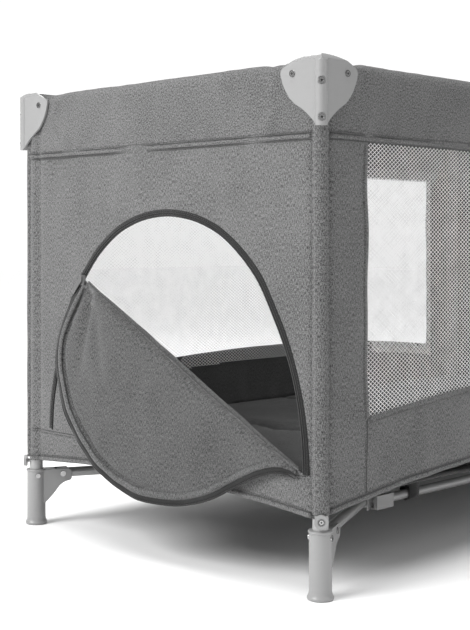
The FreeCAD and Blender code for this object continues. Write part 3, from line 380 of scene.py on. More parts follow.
def panel(name, outline, holes, step, shape, material, thick=CLOTH, extra=(), inner_shade=None):
    """Cloth cut to an outline with holes; shape(c, z) places its flat points, extra adds lines of them."""
    loops = [resample(loop, step, closed=True) for loop in [outline, *holes]]
    low, high = loops[0].min(0), loops[0].max(0)
    columns, rows = np.arange(low[0], high[0], step), np.arange(low[1], high[1], step * 0.87)
    cells = np.array([(x + (row % 2) * step / 2, z) for row, z in enumerate(rows) for x in columns])
    rims = np.concatenate([*loops, *extra])

    def on_cloth(spots):
        fits = inside(spots, loops[0])
        for loop in loops[1:]:
            fits &= ~inside(spots, loop)
        return fits
    cells = cells[on_cloth(cells)]
    near = np.array([np.hypot(*(rims - c).T).min() for c in cells])
    cells = cells[near > step * 0.55]
    edges, start = [], 0
    for loop in loops:
        count = len(loop)
        edges += [(start + k, start + (k + 1) % count) for k in range(count)]
        start += count
    points = [Vector(p) for line in (*loops, *extra, cells) for p in line]
    made = delaunay_2d_cdt(points, edges, [], 0, 1e-6, False)
    flat = np.array([tuple(v) for v in made[0]])
    faces = np.array([f for f in made[2] if len(f) == 3])
    faces = faces[on_cloth(flat[faces].mean(1))]
    piece = mesh_piece(name, shape(flat[:, 0], flat[:, 1]), faces, flat, material)
    return thicken(piece, thick, inner_shade=inner_shade) if thick else piece


def sweep(name, path, normal, profile, material, closed=False, capped=True, taper=0.0):
    """A profile of (side, out) points, in metres, carried along a path; side is to the path's left."""
    normal = np.broadcast_to(normal, path.shape)
    tangent = np.gradient(path, axis=0)
    if closed:
        tangent[0] = tangent[-1] = path[1] - path[-2]
    tangent = unit(tangent)
    side = unit(np.cross(normal, tangent))
    out = np.cross(tangent, side)
    profile = np.asarray(profile, float)
    length = run(path)
    size = np.ones(len(path))
    if taper:
        size = np.clip(np.minimum(length, length[-1] - length) / taper, 0.15, 1) ** 0.5
    points = (path[:, None] + side[:, None] * profile[None, :, :1] * size[:, None, None]
              + out[:, None] * profile[None, :, 1:] * size[:, None, None])
    uv = np.stack(np.broadcast_arrays(length[:, None], run(profile)[None, :]), -1)
    return tube_piece(name, points, uv, material, capped)


def ring(radius, count, out=0.0):
    """Round closed profile for sweep."""
    turns = full_turn(count)
    return np.stack([radius * np.cos(turns), out + radius * np.sin(turns)], -1)


def strip(width, thick, out=0.0, crown=0.0):
    """Flat closed profile with eased edges: width across, thick out."""
    half, ease = width / 2, min(thick, width) * 0.35
    top = [(half, ease), (half - ease, thick), (0, thick + crown), (-half + ease, thick), (-half, ease)]
    return [(a, out + b) for a, b in [*top, (-half, 0), (half, 0)]]


def stitches(name, path, normal, material=STITCH):
    """A row of sewn stitches along a path, each a spindle with three rings between its tips."""
    pitch, long, radius, lift, sides = 0.0042, 0.0030, 0.00045, 0.0002, 6
    normal = np.broadcast_to(normal, path.shape)
    length = run(path)
    at = np.arange(pitch / 2, length[-1] - pitch / 2, pitch)

    def pick(where, values):
        return np.stack([np.interp(where, length, values[:, k]) for k in range(3)], -1)
    middle, out = pick(at, path), pick(at, normal)
    tangent = pick(at + 0.001, path) - middle
    tangent /= np.linalg.norm(tangent, axis=1)[:, None] + 1e-12
    side = np.cross(out, tangent)
    turns = full_turn(sides)
    shape = [(-0.5, 0, 0)]
    for spot, wide in ((-0.36, 0.8), (0.0, 1.0), (0.36, 0.8)):
        shape += [(spot, wide * math.cos(t), wide * math.sin(t)) for t in turns]
    shape.append((0.5, 0, 0))
    shape = np.array(shape)
    last, tip = 1 + 2 * sides, 1 + 3 * sides
    faces = [(0, 1 + (k + 1) % sides, 1 + k) for k in range(sides)]
    faces += belt(1, 1 + sides, sides) + belt(1 + sides, last, sides)
    faces += [(last + k, last + (k + 1) % sides, tip) for k in range(sides)]
    points = (middle[:, None] + tangent[:, None] * shape[None, :, :1] * long
              + side[:, None] * shape[None, :, 1:2] * radius
              + out[:, None] * (shape[None, :, 2:] * radius + lift))
    every = [tuple(i + len(shape) * k for i in face) for k in range(len(at)) for face in faces]
    uv = np.tile(shape[:, :2] * (long, radius * 3), (len(at), 1))
    return mesh_piece(name, points.reshape(-1, 3), every, uv, material)


# ---- wall cloth
def lower_edge(wall, c):
    """Scalloped lower edge of a wall: low at the legs, high in the middle."""
    half, hem, rise = (LEG_X, LONG_HEM, LONG_RISE) if wall in LONG_WALLS else (LEG_Y, SHORT_HEM, SHORT_RISE)
    radius = (half ** 2 + rise ** 2) / (2 * rise)
    return hem + rise - radius + np.sqrt(radius ** 2 - np.minimum(np.abs(c), half) ** 2)


def beside_leg(wall, c):
    """Relief near a leg: cloth is nipped in at its sewn end; an end wall wraps its back leg as a column."""
    ends = WALLS[wall]["half"] - np.abs(c)
    nipped = -0.0036 * bell(clamp(ends), 0.0045)
    if wall in LONG_WALLS:
        return nipped
    column = -0.0065 * bell(ends - COLUMN, 0.0042)
    column = column + 0.0022 * clamp(4 * ends * (COLUMN - ends) / COLUMN ** 2)
    return nipped + np.where(c * (1 if wall == "far" else -1) > 0, column, 0.0)


def wall_relief(wall, c, z):
    """How far the wall cloth stands out from its plane: slack, pulls at the hem, pinched ends."""
    seed = 11 * WALLS[wall]["turn"] + 3
    ends = WALLS[wall]["half"] - np.abs(c)
    free = clamp(ends / 0.07) ** 1.5
    slack = 0.0012 * ripple(c, z, 0.21, seed) + 0.0006 * ripple(c, z, 0.07, seed + 1, 2.2)
    pulls = 0.0011 * np.exp(-(z - lower_edge(wall, c)) / 0.05) * ripple(c, z * 0.3, 0.06, seed + 2)
    near_leg = 0.0007 * np.exp(-clamp(ends) / 0.03) * ripple(c * 2, z, 0.035, seed + 3)
    near_leg = near_leg * clamp((ends - 0.015) / 0.01)
    return -0.0004 + free * (slack + pulls) + near_leg + beside_leg(wall, c)


def laid(wall, line, lift=0.0):
    """A line of wall coordinates laid on the cloth."""
    c, z = line.T
    return on_wall(wall, c, wall_relief(wall, c, z) + lift, z)


def hem_line(wall, first, last, raised, step=FINE):
    """A line that follows the wall's lower edge, raised above it."""
    c = np.arange(first, last + step / 2, step)
    return np.stack([c, lower_edge(wall, c) + raised], -1)


def trim(name, wall, line, profile, material):
    """A profile carried along a line on a wall."""
    return sweep(name, laid(wall, line), wall_out(wall), profile, material)


def sewn(name, wall, line, lift, material=STITCH):
    """A row of stitches along a line on a wall."""
    return stitches(name, laid(wall, line, lift), wall_out(wall), material)


def hem(wall, label, half):
    """Turned-up hem: a rounded lip at the edge, a dark thread line as painted shade in the groove above it, and a row
    of stitches.
    """
    first, last = HEM_SHORT - half, half - HEM_SHORT
    fold = trim(label + "_hem", wall, hem_line(wall, first, last, 0.0036),
                strip(0.0062, 0.0016, out=-0.0004, crown=0.0004), MELANGE)
    groove_shade = trim(label + "_hem_groove_shade", wall, hem_line(wall, first, last, 0.0076), ring(0.0007, 6, out=0.0001), STITCH)
    return [groove_shade, fold, sewn(label + "_hem_stitches", wall, hem_line(wall, first, last, 0.0100), 0.0006)]


def cut_wall(wall, holes):
    """The cloth of a wall, from its lower edge to behind the band, and its hem."""
    label, half = "wall_" + wall, WALLS[wall]["half"] - WALL_END
    top = BAND_HEM + TUCK
    outline = np.concatenate([hem_line(wall, -half, half, 0.0, COARSE), [(half, top), (-half, top)]])
    # the wall's inner face takes the darker cloth: painted shade
    cloth = panel(label + "_cloth", outline, holes, COARSE, lambda c, z: laid(wall, np.stack([c, z], -1)), MELANGE,
                  inner_shade=PAINTED_SHADE_CLOTH)
    return cloth, hem(wall, label, half)


def long_wall(wall):
    """Long wall with its window, the facings round it and the seams below it."""
    label, facing = "wall_" + wall, strip(0.009, 0.0009, out=-0.0003)
    sill = hem_line(wall, -WINDOW, WINDOW, 0.0, COARSE) + (0, WINDOW_LIFT)
    top = BAND_HEM + 0.004
    cloth, pieces = cut_wall(wall, [np.concatenate([sill, [(WINDOW, top), (-WINDOW, top)]])])
    for sign, side in ((-1, "left"), (1, "right")):
        edge = sign * (WINDOW + 0.0045)
        foot = lower_edge(wall, edge)
        z = np.arange(foot + WINDOW_LIFT, BAND_HEM, FINE)
        turned = np.stack([np.full(len(z), edge), z], -1)
        pieces.append(trim(f"{label}_facing_{side}", wall, turned, facing, MELANGE))
        pieces.append(sewn(f"{label}_facing_stitches_{side}", wall, turned + (sign * 0.0025, 0), 0.0009))
        z = np.arange(foot + 0.009, foot + WINDOW_LIFT, FINE)
        down = np.stack([np.full(len(z), edge - sign * 0.001), z], -1)
        pieces.append(trim(f"{label}_seam_{side}", wall, down, ring(0.0010, 6, out=-0.0003), STITCH))
        pieces.append(sewn(f"{label}_seam_stitches_{side}", wall, down + (sign * 0.0035, 0), 0.0002))
    pieces.append(trim(label + "_sill", wall, sill - (0, 0.0045), facing, MELANGE))
    pieces.append(sewn(label + "_sill_stitches", wall, sill - (0, 0.0072), 0.0009))
    return cloth, pieces


def net(wall):
    """Knotted net: crossing threads round diamond holes, sewn behind the window's edge."""
    across, tall, open_part = 0.0086, 0.0059, 0.805  # pitch of the holes and how far each is open
    c0, c1 = -WINDOW - NET_SEAM, WINDOW + NET_SEAM
    z0, z1 = LONG_HEM + WINDOW_LIFT - 0.028, BAND_HEM + 0.012
    columns, rows = int((c1 - c0) / across), int((z1 - z0) / (tall / 2))
    centre, low = [], {}
    for row in range(rows):
        z = z0 + row * tall / 2
        for column in range(columns):
            c = c0 + (column + 0.5 * (row % 2)) * across
            if z > lower_edge(wall, c) + WINDOW_LIFT - 0.026:
                low[(column, row)] = len(centre)
                centre.append((c, z))
    centre = np.array(centre)
    a, b = across / 2 * open_part, tall / 2 * open_part
    offsets = np.array([(a, 0), (0, b), (-a, 0), (0, -b)])
    flat = (centre[:, None] + offsets[None]).reshape(-1, 2)
    faces = []
    for (column, row), k in low.items():
        odd = row % 2
        up_right, up_left = low.get((column + odd, row + 1)), low.get((column + odd - 1, row + 1))
        over = low.get((column, row + 2))
        if up_right is not None:
            faces.append((4 * k, 4 * up_right + 3, 4 * up_right + 2, 4 * k + 1))
        if up_left is not None:
            faces.append((4 * k + 1, 4 * up_left, 4 * up_left + 3, 4 * k + 2))
        if None not in (over, up_left, up_right):
            faces.append((4 * k + 1, 4 * up_right + 2, 4 * over + 3, 4 * up_left))
    c, z = flat[:, 0], flat[:, 1]
    sag = clamp((WINDOW - np.abs(c)) / 0.15) * clamp((BAND_HEM - z) / 0.1)
    out = -0.0027 - 0.0006 * (1 - sag) + 0.0016 * sag * ripple(c, z, 0.3, 5 + WALLS[wall]["turn"]) - 0.0012 * sag
    return mesh_piece("net_" + wall, on_wall(wall, c, out, z), faces, flat, NET, smooth=False)


# ---- top band
def band_profile():
    """Teardrop round the top rail: outer face, rounded top, inner face falling to the hem."""
    depth, crown, top, foot = 0.030, 0.0145, BAND_TOP, BAND_HEM
    points = [(0.0, foot), (0.0, foot + 0.02), (0.0, foot + 0.045), (0.0, top - crown - 0.01)]
    for turn in np.linspace(0, math.pi, 11):
        points.append((-crown + crown * math.cos(turn) - (depth - 2 * crown) * turn / math.pi,
                       top - crown + crown * math.sin(turn)))
    points += [(-depth, top - crown - 0.01), (-depth + 0.001, foot + 0.05), (-0.024, foot + 0.03),
               (-0.015, foot + 0.010), (-0.006, foot)]
    return resample([np.array(p) for p in points], 0.0050, closed=True)


def fill_out(piece, hold, pressure, cap):
    """Blow a padded piece up as cloth: held points stay, no other moves past the cap or sinks past the dent."""
    spare, dent, frames = 0.012, 0.0006, 20
    scene = bpy.context.scene
    group = piece.vertex_groups.new(name="sewn")
    for weight in np.unique(hold[hold > 0]):
        group.add([int(k) for k in np.nonzero(hold == weight)[0]], float(weight), "REPLACE")
    cloth = piece.modifiers.new("filling", "CLOTH")
    rules = cloth.settings
    rules.quality, rules.mass, rules.air_damping = 5, 0.25, 2.0
    rules.tension_stiffness = rules.compression_stiffness = 20
    rules.shear_stiffness, rules.bending_stiffness = 8, 0.6
    rules.use_pressure, rules.uniform_pressure_force = True, pressure
    rules.vertex_group_mass, rules.shrink_min = "sewn", -spare
    rules.effector_weights.gravity = 0
    cloth.collision_settings.use_collision = False
    for step in range(1, frames + 1):
        scene.frame_set(step)
    blown = piece.evaluated_get(bpy.context.evaluated_depsgraph_get()).to_mesh()
    was, outward = per_point(piece.data, "co"), per_point(piece.data, "normal")
    move = per_point(blown, "co") - was
    along = (move * outward).sum(1)[:, None]
    move += outward * (np.maximum(along, -dent) - along)
    far = np.linalg.norm(move, axis=1)[:, None]
    move *= np.minimum(1, cap / np.maximum(far, 1e-9))
    piece.modifiers.remove(cloth)
    piece.vertex_groups.remove(group)
    piece.data.vertices.foreach_set("co", (was + move).ravel())
    piece.data.update()
    scene.frame_set(1)


def band(wall):
    """Padded roll round the top rail, with the sewn hem of its outer face."""
    label, half = "band_" + wall, WALLS[wall]["half"]
    seed = 40 + WALLS[wall]["turn"]
    reach = half - CHEEK
    loop = band_profile()
    rows = np.linspace(-half + WALL_END, half - WALL_END, int(2 * half / 0.0072))
    c, k = np.meshgrid(rows, np.arange(len(loop)), indexing="ij")
    out, up = loop[k, 0], loop[k, 1]
    from_leg = half - np.abs(c)
    ends = clamp((reach - np.abs(c)) / 0.035)
    soft = ends * ends * (3 - 2 * ends)
    middle = np.array([-0.015, 0.672])
    normal = np.gradient(loop, axis=0)
    facing = unit(np.stack([normal[:, 1], -normal[:, 0]], -1))[k]
    to_middle = np.stack([out, up], -1) - middle
    flip = np.sign((facing * to_middle).sum(-1))[..., None]
    facing = facing * np.where(flip == 0, 1, flip)
    puff = 0.0024 * soft * clamp((up - BAND_HEM) / 0.02)
    wave = soft * (0.0006 * ripple(c, up + out, 0.16, seed) + 0.0003 * ripple(c, up + out, 0.05, seed + 1, 2.5))
    near = np.exp(-(from_leg - CHEEK) / 0.045)
    fan = np.arctan2(up - 0.690, from_leg - 0.015)
    wave = wave + 0.0012 * soft * near * np.sin(fan * 15 + seed) * clamp((from_leg - 0.055) / 0.02)
    moved = puff + wave - 0.0004
    # beyond the bracket's cheeks only the outer cloth runs on to the leg
    round_part = clamp((from_leg - CHEEK) / 0.007)
    out = out * (0.05 + 0.95 * round_part) + facing[..., 0] * moved * np.where(round_part < 1, 0.1, 1)
    out = out - 0.0006 * (1 - soft) + beside_leg(wall, c)
    up = up + facing[..., 1] * moved * round_part
    points = on_wall(wall, c, out, np.minimum(up, BAND_TOP + 0.0025 * round_part - 0.0005))
    uv = np.stack([c, run(loop)[k]], -1)
    body = tube_piece(label, points, uv, MELANGE_BAND, capped=True)
    # the roll's inner side takes the darker cloth: painted shade
    body.data.materials.append(PAINTED_SHADE_CLOTH)
    for face in body.data.polygons:
        if len(face.vertices) == 4 and loop[face.index % len(loop), 0] < -0.02:
            face.material_index = 1
    hold = np.where((up < BAND_HEM + 0.012) | (np.abs(c) > reach - 0.012), 1.0, 0.0)
    fill_out(body, hold.ravel(), pressure=1.6, cap=0.0022)
    smooth = body.modifiers.new("smooth", "SUBSURF")
    smooth.levels = smooth.render_levels = 1
    edge = half - HEM_SHORT
    cs = np.arange(-edge, edge + 0.001, FINE)
    level = 0.0006 * clamp((edge - np.abs(cs)) / 0.03) + beside_leg(wall, cs)
    lip = on_wall(wall, cs, level - 0.0004, BAND_HEM + 0.0036)
    pieces = [sweep(label + "_hem", lip, wall_out(wall), strip(0.0056, 0.0017, out=-0.0005, crown=0.0004),
                    MELANGE_BAND)]
    # dark thread lines: painted shadow under the hem's edge and painted shade in the groove above the lip
    for part, raised in (("_hem_edge_shadow", -0.0010), ("_hem_groove_shade", 0.0078)):
        pieces.append(sweep(label + part, lip + (0, 0, raised - 0.0036), wall_out(wall),
                            ring(0.0008, 6, out=0.0001), STITCH))
    row = on_wall(wall, cs, level + 0.0005, BAND_HEM + 0.0100)
    pieces.append(stitches(label + "_stitches", row, wall_out(wall)))
    return body, pieces


# ---- leg sleeves
def sleeve(corner):
    """Cloth casing round a leg, nipped in where it is sewn to the walls."""
    sx, sy = CORNERS[corner]
    seed = 70 + list(CORNERS).index(corner)
    low, high = LONG_HEM + 0.0005, SLEEVE_TOP
    turns = full_turn(64)
    heights = np.concatenate([[low], np.arange(low + 0.004, high, COARSE), [high]])
    z, a = np.meshgrid(heights, turns, indexing="ij")
    outward = math.atan2(sy, sx)
    away = np.abs((a - outward + math.pi) % (2 * math.pi) - math.pi)
    radius = SLEEVE_OUT - SLEEVE_NIP * bell(away - math.radians(50), 0.16)
    radius = np.where(away > math.radians(60), SLEEVE_IN, radius)
    quiet = clamp((BAND_HEM + TUCK - z) / 0.02)
    radius = radius + quiet * 0.00035 * ripple(a * 0.02, z, 0.05, seed, 3.0) + quiet * 0.0002
    points = np.stack([sx * LEG_X + radius * np.cos(a), sy * LEG_Y + radius * np.sin(a), z], -1)
    uv = np.stack([a * 0.0146, z], -1)
    piece = tube_piece("sleeve_" + corner, points, uv, MELANGE)
    thicken(piece, 0.0012)
    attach(piece, "leg_" + corner)
    return piece


# ---- screws
def screw_heads(corner):
    """Centre, normal and radius of each outward head in a leg's fasteners."""
    mesh = NODES["leg_fasteners_" + corner].data
    weld = np.unique(np.round(per_point(mesh, "co"), 6), axis=0, return_inverse=True)[1].ravel()
    root = list(range(weld.max() + 1))

    def top(k):
        while root[k] != k:
            k = root[k]
        return k
    for face in mesh.polygons:
        first = top(weld[face.vertices[0]])
        for other in face.vertices[1:]:
            root[top(weld[other])] = first
    outward = np.array([*CORNERS[corner], 0.0])
    flats = {}
    for face in mesh.polygons:
        normal = np.array(face.normal)
        if normal @ outward > 0.3:
            key = (top(weld[face.vertices[0]]), *np.round(normal, 1))
            flats.setdefault(key, []).append((face.area, np.array(face.center), normal))
    best = {}
    for key, found in flats.items():
        area = sum(f[0] for f in found)
        if area > best.get(key[0], (0,))[0]:
            centre = sum(f[0] * f[1] for f in found) / area
            best[key[0]] = (area, centre, found[0][2])
    return [(centre, normal, math.sqrt(area / math.pi)) for area, centre, normal in best.values()]


def screw_shade_rings(corner):
    """Painted shade: dark rings over the rim gap and driver socket of each screw head."""
    points, faces = [], []
    for centre, normal, radius in screw_heads(corner):
        if not 0.002 < radius < 0.010:  # not a screw head
            continue
        across = np.cross(normal, (0, 0, 1.0))
        across /= np.linalg.norm(across)
        up = np.cross(across, normal)
        for inner, outer, sides in ((0.82, 0.97, 32), (0.02, 0.40, 6)):
            turns = full_turn(sides)[:, None]
            around = np.cos(turns) * across + np.sin(turns) * up
            start = len(points)
            for share, lift in ((inner, -0.0003), (outer, -0.0003), (outer, 0.00015), (inner, 0.00015)):
                points += list(centre + around * radius * share + normal * lift)
            for level in range(4):
                faces += belt(start + level * sides, start + (level + 1) % 4 * sides, sides)
    points = np.array(points)
    piece = mesh_piece("screw_socket_shade_" + corner, points, faces, points[:, :2], RECESS_SHADE, smooth=False)
    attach(piece, "leg_" + corner)


# ---- doorway
def door_outline(grow=0.0, step=FINE):
    """Door edge from the near foot corner over the top to the far foot corner, as seen from outside."""
    centre, side, top = DOOR_HALF - DOOR_SIDE_R, DOOR_SIDE_R + grow, DOOR_TOP_R + grow
    joint = math.atan2(DOOR_JOINT - DOOR_FOOT, DOOR_JOINT_HALF - centre)
    first = math.atan2(DOOR_JOINT - DOOR_TOP_Z, DOOR_JOINT_HALF)
    points = []
    for x, z, radius, start, end in ((centre, DOOR_FOOT, side, 0, joint), (0, DOOR_TOP_Z, top, first, math.pi - first),
                                     (-centre, DOOR_FOOT, side, math.pi - joint, math.pi + 1e-6)):
        points += [(x + radius * math.cos(t), z + radius * math.sin(t)) for t in np.arange(start, end, step / radius)]
    return np.array(points) + (DOOR_MIDDLE, 0)


CREASE_A = np.array([DOOR_MIDDLE + DOOR_HALF, DOOR_FOOT])  # near foot corner
CREASE_B = np.array([DOOR_MIDDLE - DOOR_JOINT_HALF, DOOR_JOINT])  # far shoulder
CREASE_LONG = float(np.linalg.norm(CREASE_B - CREASE_A))
CREASE_ALONG = (CREASE_B - CREASE_A) / CREASE_LONG
CREASE_UP = np.array([-CREASE_ALONG[1], CREASE_ALONG[0]])
if CREASE_UP[1] < 0:
    CREASE_UP = -CREASE_UP


def crease_line():
    """The sagging line the flap folds down along."""
    t = np.linspace(0, 1, int(CREASE_LONG / FINE))
    sag = -CREASE_SAG * 4 * t * (1 - t)
    return CREASE_A + np.outer(t * CREASE_LONG, CREASE_ALONG) + np.outer(sag, CREASE_UP)


def above_crease(points):
    return (points - CREASE_A) @ CREASE_UP


def end_wall(wall):
    """End wall with the seam across it at the foot of the door; the near one has the doorway."""
    holes = []
    if wall == "door":
        arch = door_outline()
        holes = [np.concatenate([arch[above_crease(arch) > 0.004], crease_line()[::-1]])]
    cloth, pieces = cut_wall(wall, holes)
    reach = WALLS[wall]["half"] - WALL_END
    c = np.arange(-reach + 0.008, reach - 0.008, FINE)
    seam = np.stack([c, np.full(len(c), DOOR_FOOT - 0.002)], -1)
    pieces.append(trim(f"wall_{wall}_seam", wall, seam, ring(0.0009, 6, out=-0.0003), STITCH))
    pieces.append(sewn(f"wall_{wall}_seam_stitches", wall, seam - (0, 0.004), 0.0002))
    return cloth, pieces


def doorway():
    """Zip tape, coil, lip, facing and stitching round the door, on the wall's side."""
    t = np.linspace(0.015, 0.985, 60)[:, None]
    fold = CREASE_A + t * CREASE_LONG * CREASE_ALONG - 0.0020 * CREASE_UP
    return [
        trim("door_zip_tape", "door", door_outline(TAPE / 2), strip(TAPE, 0.0011, out=-0.0003, crown=0.0002),
             ZIP_TAPE),
        trim("door_zip_coil", "door", door_outline(0.0018), ring(0.0016, 8, out=0.0008), ZIP_COIL),
        trim("door_zip_lip", "door", door_outline(0.0052), ring(0.0012, 8, out=0.0008), ZIP_TAPE),
        # the facing under the fold is the darker cloth: painted shade
        trim("door_fold_facing", "door", fold, strip(0.0100, 0.0010, out=-0.0032), MELANGE_PAINTED_SHADE),
        sewn("door_zip_stitches", "door", door_outline(TAPE - 0.0022), 0.0008, ZIP_COIL),
    ]


# ---- hanging door flap
# free edge of the hanging flap, in wall coordinates, from the far shoulder round to the near foot
FLAP_EDGE = [(-0.167, 0.404), (-0.188, 0.372), (-0.203, 0.343), (-0.211, 0.318), (-0.213, 0.295), (-0.210, 0.272),
             (-0.202, 0.249), (-0.181, 0.208), (-0.146, 0.171), (-0.118, 0.147), (-0.088, 0.127), (-0.051, 0.111),
             (0.000, 0.100), (0.062, 0.100), (0.105, 0.108), (0.143, 0.121), (0.176, 0.139), (0.210, 0.156),
             (0.236, 0.166), (0.258, 0.171), (0.278, 0.171), (0.292, 0.166)]


def smooth_line(points, count):
    """Catmull-Rom curve through points."""
    p = np.asarray(points, float)
    p = np.concatenate([[2 * p[0] - p[1]], p, [2 * p[-1] - p[-2]]])
    t = np.linspace(0, len(p) - 3 - 1e-9, count)
    k = t.astype(int)
    f = (t - k)[:, None]
    a, b, c, d = p[k], p[k + 1], p[k + 2], p[k + 3]
    return 0.5 * (2 * b + (c - a) * f + (2 * a - 5 * b + 4 * c - d) * f ** 2 + (3 * b - a - 3 * c + d) * f ** 3)


FLAP_RIM = smooth_line(FLAP_EDGE, 150)


def flap_depth(c, z):
    """Distance below the sagging crease and place along it, 0 at the near foot corner to 1."""
    p = np.stack([c, z], -1) - CREASE_A
    t = clamp((p @ CREASE_ALONG) / CREASE_LONG)
    return -(p @ CREASE_UP) - CREASE_SAG * 4 * t * (1 - t), t


def flap_out(c, z):
    """How far the folded-down flap stands out from the wall."""
    q, t = flap_depth(c, z)
    q = np.maximum(q, 0)
    roll = 0.0015 + 0.0105 * clamp(4 * t * (1 - t)) ** 0.5
    bend = roll * np.sqrt(clamp(1 - (1 - clamp(q / roll)) ** 2))
    belly = 0.016 * clamp(q / 0.20) ** 1.1 * (clamp(t / 0.35) ** 0.7)
    pleat = -0.009 * bell((c + 0.1495) - 0.10 * (z - 0.36), 0.009)
    pleat = pleat * clamp((0.410 - z) / 0.02) * clamp((z - 0.25) / 0.12)
    valley = -0.0045 * bell((c + 0.1440) - 0.30 * (0.40 - z), 0.011)
    valley = valley * clamp((0.395 - z) / 0.03) * clamp((z - 0.22) / 0.12)
    waves = clamp(q / 0.05) * (0.0016 * ripple(c, z, 0.17, 21) + 0.0005 * ripple(c, z, 0.06, 22))
    # the cloth sinks behind its binding on the side of the far shoulder
    gap = np.array([np.hypot(*(FLAP_RIM - point).T).min() for point in np.stack([c, z], -1)])
    sunk = -0.0065 * bell(gap - 0.0130, 0.0036) * clamp((t - 0.35) / 0.30)
    return 0.0022 + bend + belly + pleat + valley + waves + sunk


def flap_surface(c, z, lift=0.0):
    return on_wall("door", c, flap_out(c, z) + lift, z)


def flap():
    """The flap hanging open, with its binding and its half of the zip."""
    edge, crease, out = FLAP_RIM, crease_line(), wall_out("door")
    inward = np.gradient(edge, axis=0)
    inward = unit(np.stack([-inward[:, 1], inward[:, 0]], -1))
    if ((np.array([0.0, 0.25]) - edge[75]) @ inward[75]) < 0:
        inward = -inward
    rows = [(crease - deep * CREASE_UP)[6:-6] for deep in (0.0008, 0.002, 0.004, 0.0065, 0.0095, 0.013)]
    rows += [(edge + inward * deep)[14:90] for deep in (0.0095, 0.0130, 0.0165, 0.0205)]
    outline = np.concatenate([crease[2:-2], edge])
    # the flap's cloth is the darker copy of the wall cloth: painted shade
    cloth = panel("flap_cloth", outline, [], 0.007, flap_surface, MELANGE_PAINTED_SHADE, thick=0.0018, extra=rows)

    def rim(offset, lift):
        line = edge + inward * offset
        return flap_surface(line[:, 0], line[:, 1], lift)
    pieces = [sweep(name, rim(offset, lift), out, profile, material, taper=taper)
              for name, offset, lift, profile, material, taper in (
        ("flap_binding", 0.0052, 0.0, strip(0.0088, 0.0013, out=-0.0001, crown=0.0006), BINDING, 0.02),
        ("flap_zip_tape", -0.0035, -0.0015, strip(0.0085, 0.0012, out=-0.0002), ZIP_TAPE, 0.03),
        ("flap_zip_coil", -0.0078, -0.0012, ring(0.0013, 8, out=0.0006), ZIP_COIL, 0.02))]
    pieces.append(stitches("flap_binding_stitches", rim(0.0088, 0.0009), out))
    return cloth, pieces


def slider():
    """The zip slider, a copy of its part that rides on that part's body."""
    piece = bpy.data.objects.new("slider_and_pull", NODES["zip_slider"].data.copy())
    bpy.context.scene.collection.objects.link(piece)
    gather(piece)
    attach(piece, "zip_slider")
    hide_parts("zip_slider")


# ---- mattress and floor
def rounded_plan(half_x, half_y, radius):
    """Corner points of a rectangle with rounded corners."""
    points = []
    for sx, sy, start in ((1, 1, 0), (-1, 1, 90), (-1, -1, 180), (1, -1, 270)):
        for turn in np.radians(np.linspace(start, start + 90, 9)):
            points.append((sx * (half_x - radius) + radius * math.cos(turn),
                           sy * (half_y - radius) + radius * math.sin(turn)))
    return np.array(points)


def mattress():
    """Folding foam pad in four panels, with sewn folds and a piped edge."""
    low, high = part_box("mattress")
    half_x, half_y, thick = (high.x - low.x) / 2, (high.y - low.y) / 2, high.z - low.z
    plan = rounded_plan(half_x, half_y, PAD_CORNER)
    rim = resample(plan, 0.01, closed=True)
    folds = (-half_x / 2, 0.0, half_x / 2)

    def height(x, y):
        near = np.array([np.hypot(*(rim - p).T).min() for p in np.stack([x, y], -1)])
        near = np.where(near < 1e-5, 0, near)
        swell = thick / 2 * np.sqrt(clamp(1 - (1 - clamp(near / (thick / 2))) ** 2))
        seam = sum(bell(x - f, 0.006) for f in folds)
        seam = seam * clamp(near / 0.06)
        return swell * (1 - 0.55 * seam) + 0.0012 * ripple(x, y, 0.16, 31) * clamp(near / 0.03)
    middle = (low.z + high.z) / 2
    halves = []
    for sign, name in ((1, "mattress_top"), (-1, "mattress_under")):
        lines = [np.stack([np.full(60, f + d), np.linspace(-half_y + 0.006, half_y - 0.006, 60)], -1)
                 for f in folds for d in (-0.006, 0, 0.006)]
        lines += [resample(rounded_plan(half_x - d, half_y - d, PAD_CORNER - d), 0.012, closed=True)
                  for d in (0.0025, 0.0065, 0.012, 0.018)]
        piece = panel(name, plan, [], 0.014, lambda x, y: np.stack([x, y, middle + sign * height(x, y)], -1),
                      PAD_CLOTH, thick=0, extra=lines)
        if sign < 0:
            piece.data.flip_normals()
        halves.append(piece)
    closed = np.concatenate([rim, rim[:1]])
    pipe = sweep("mattress_piping", np.column_stack([closed * (1 - 0.0015 / 0.3), np.full(len(closed), middle)]),
                 (0, 0, 1), ring(0.0016, 8), BINDING, closed=True, capped=False)
    bpy.ops.object.select_all(action="DESELECT")
    for piece in halves:
        piece.select_set(True)
    bpy.context.view_layer.objects.active = halves[0]
    bpy.ops.object.join()
    pad = halves[0]
    pad.name = "mattress_pad"
    spots = per_point(pad.data, "co")
    held = np.abs(spots[:, 2] - middle) < 0.0012
    for fold in folds:
        held |= np.abs(spots[:, 0] - fold) < 0.007
    fill_out(pad, held.astype(float), pressure=1.5, cap=0.003)
    for piece in (pad, pipe):
        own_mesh(piece)
        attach(piece, "mattress")
    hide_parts("mattress")


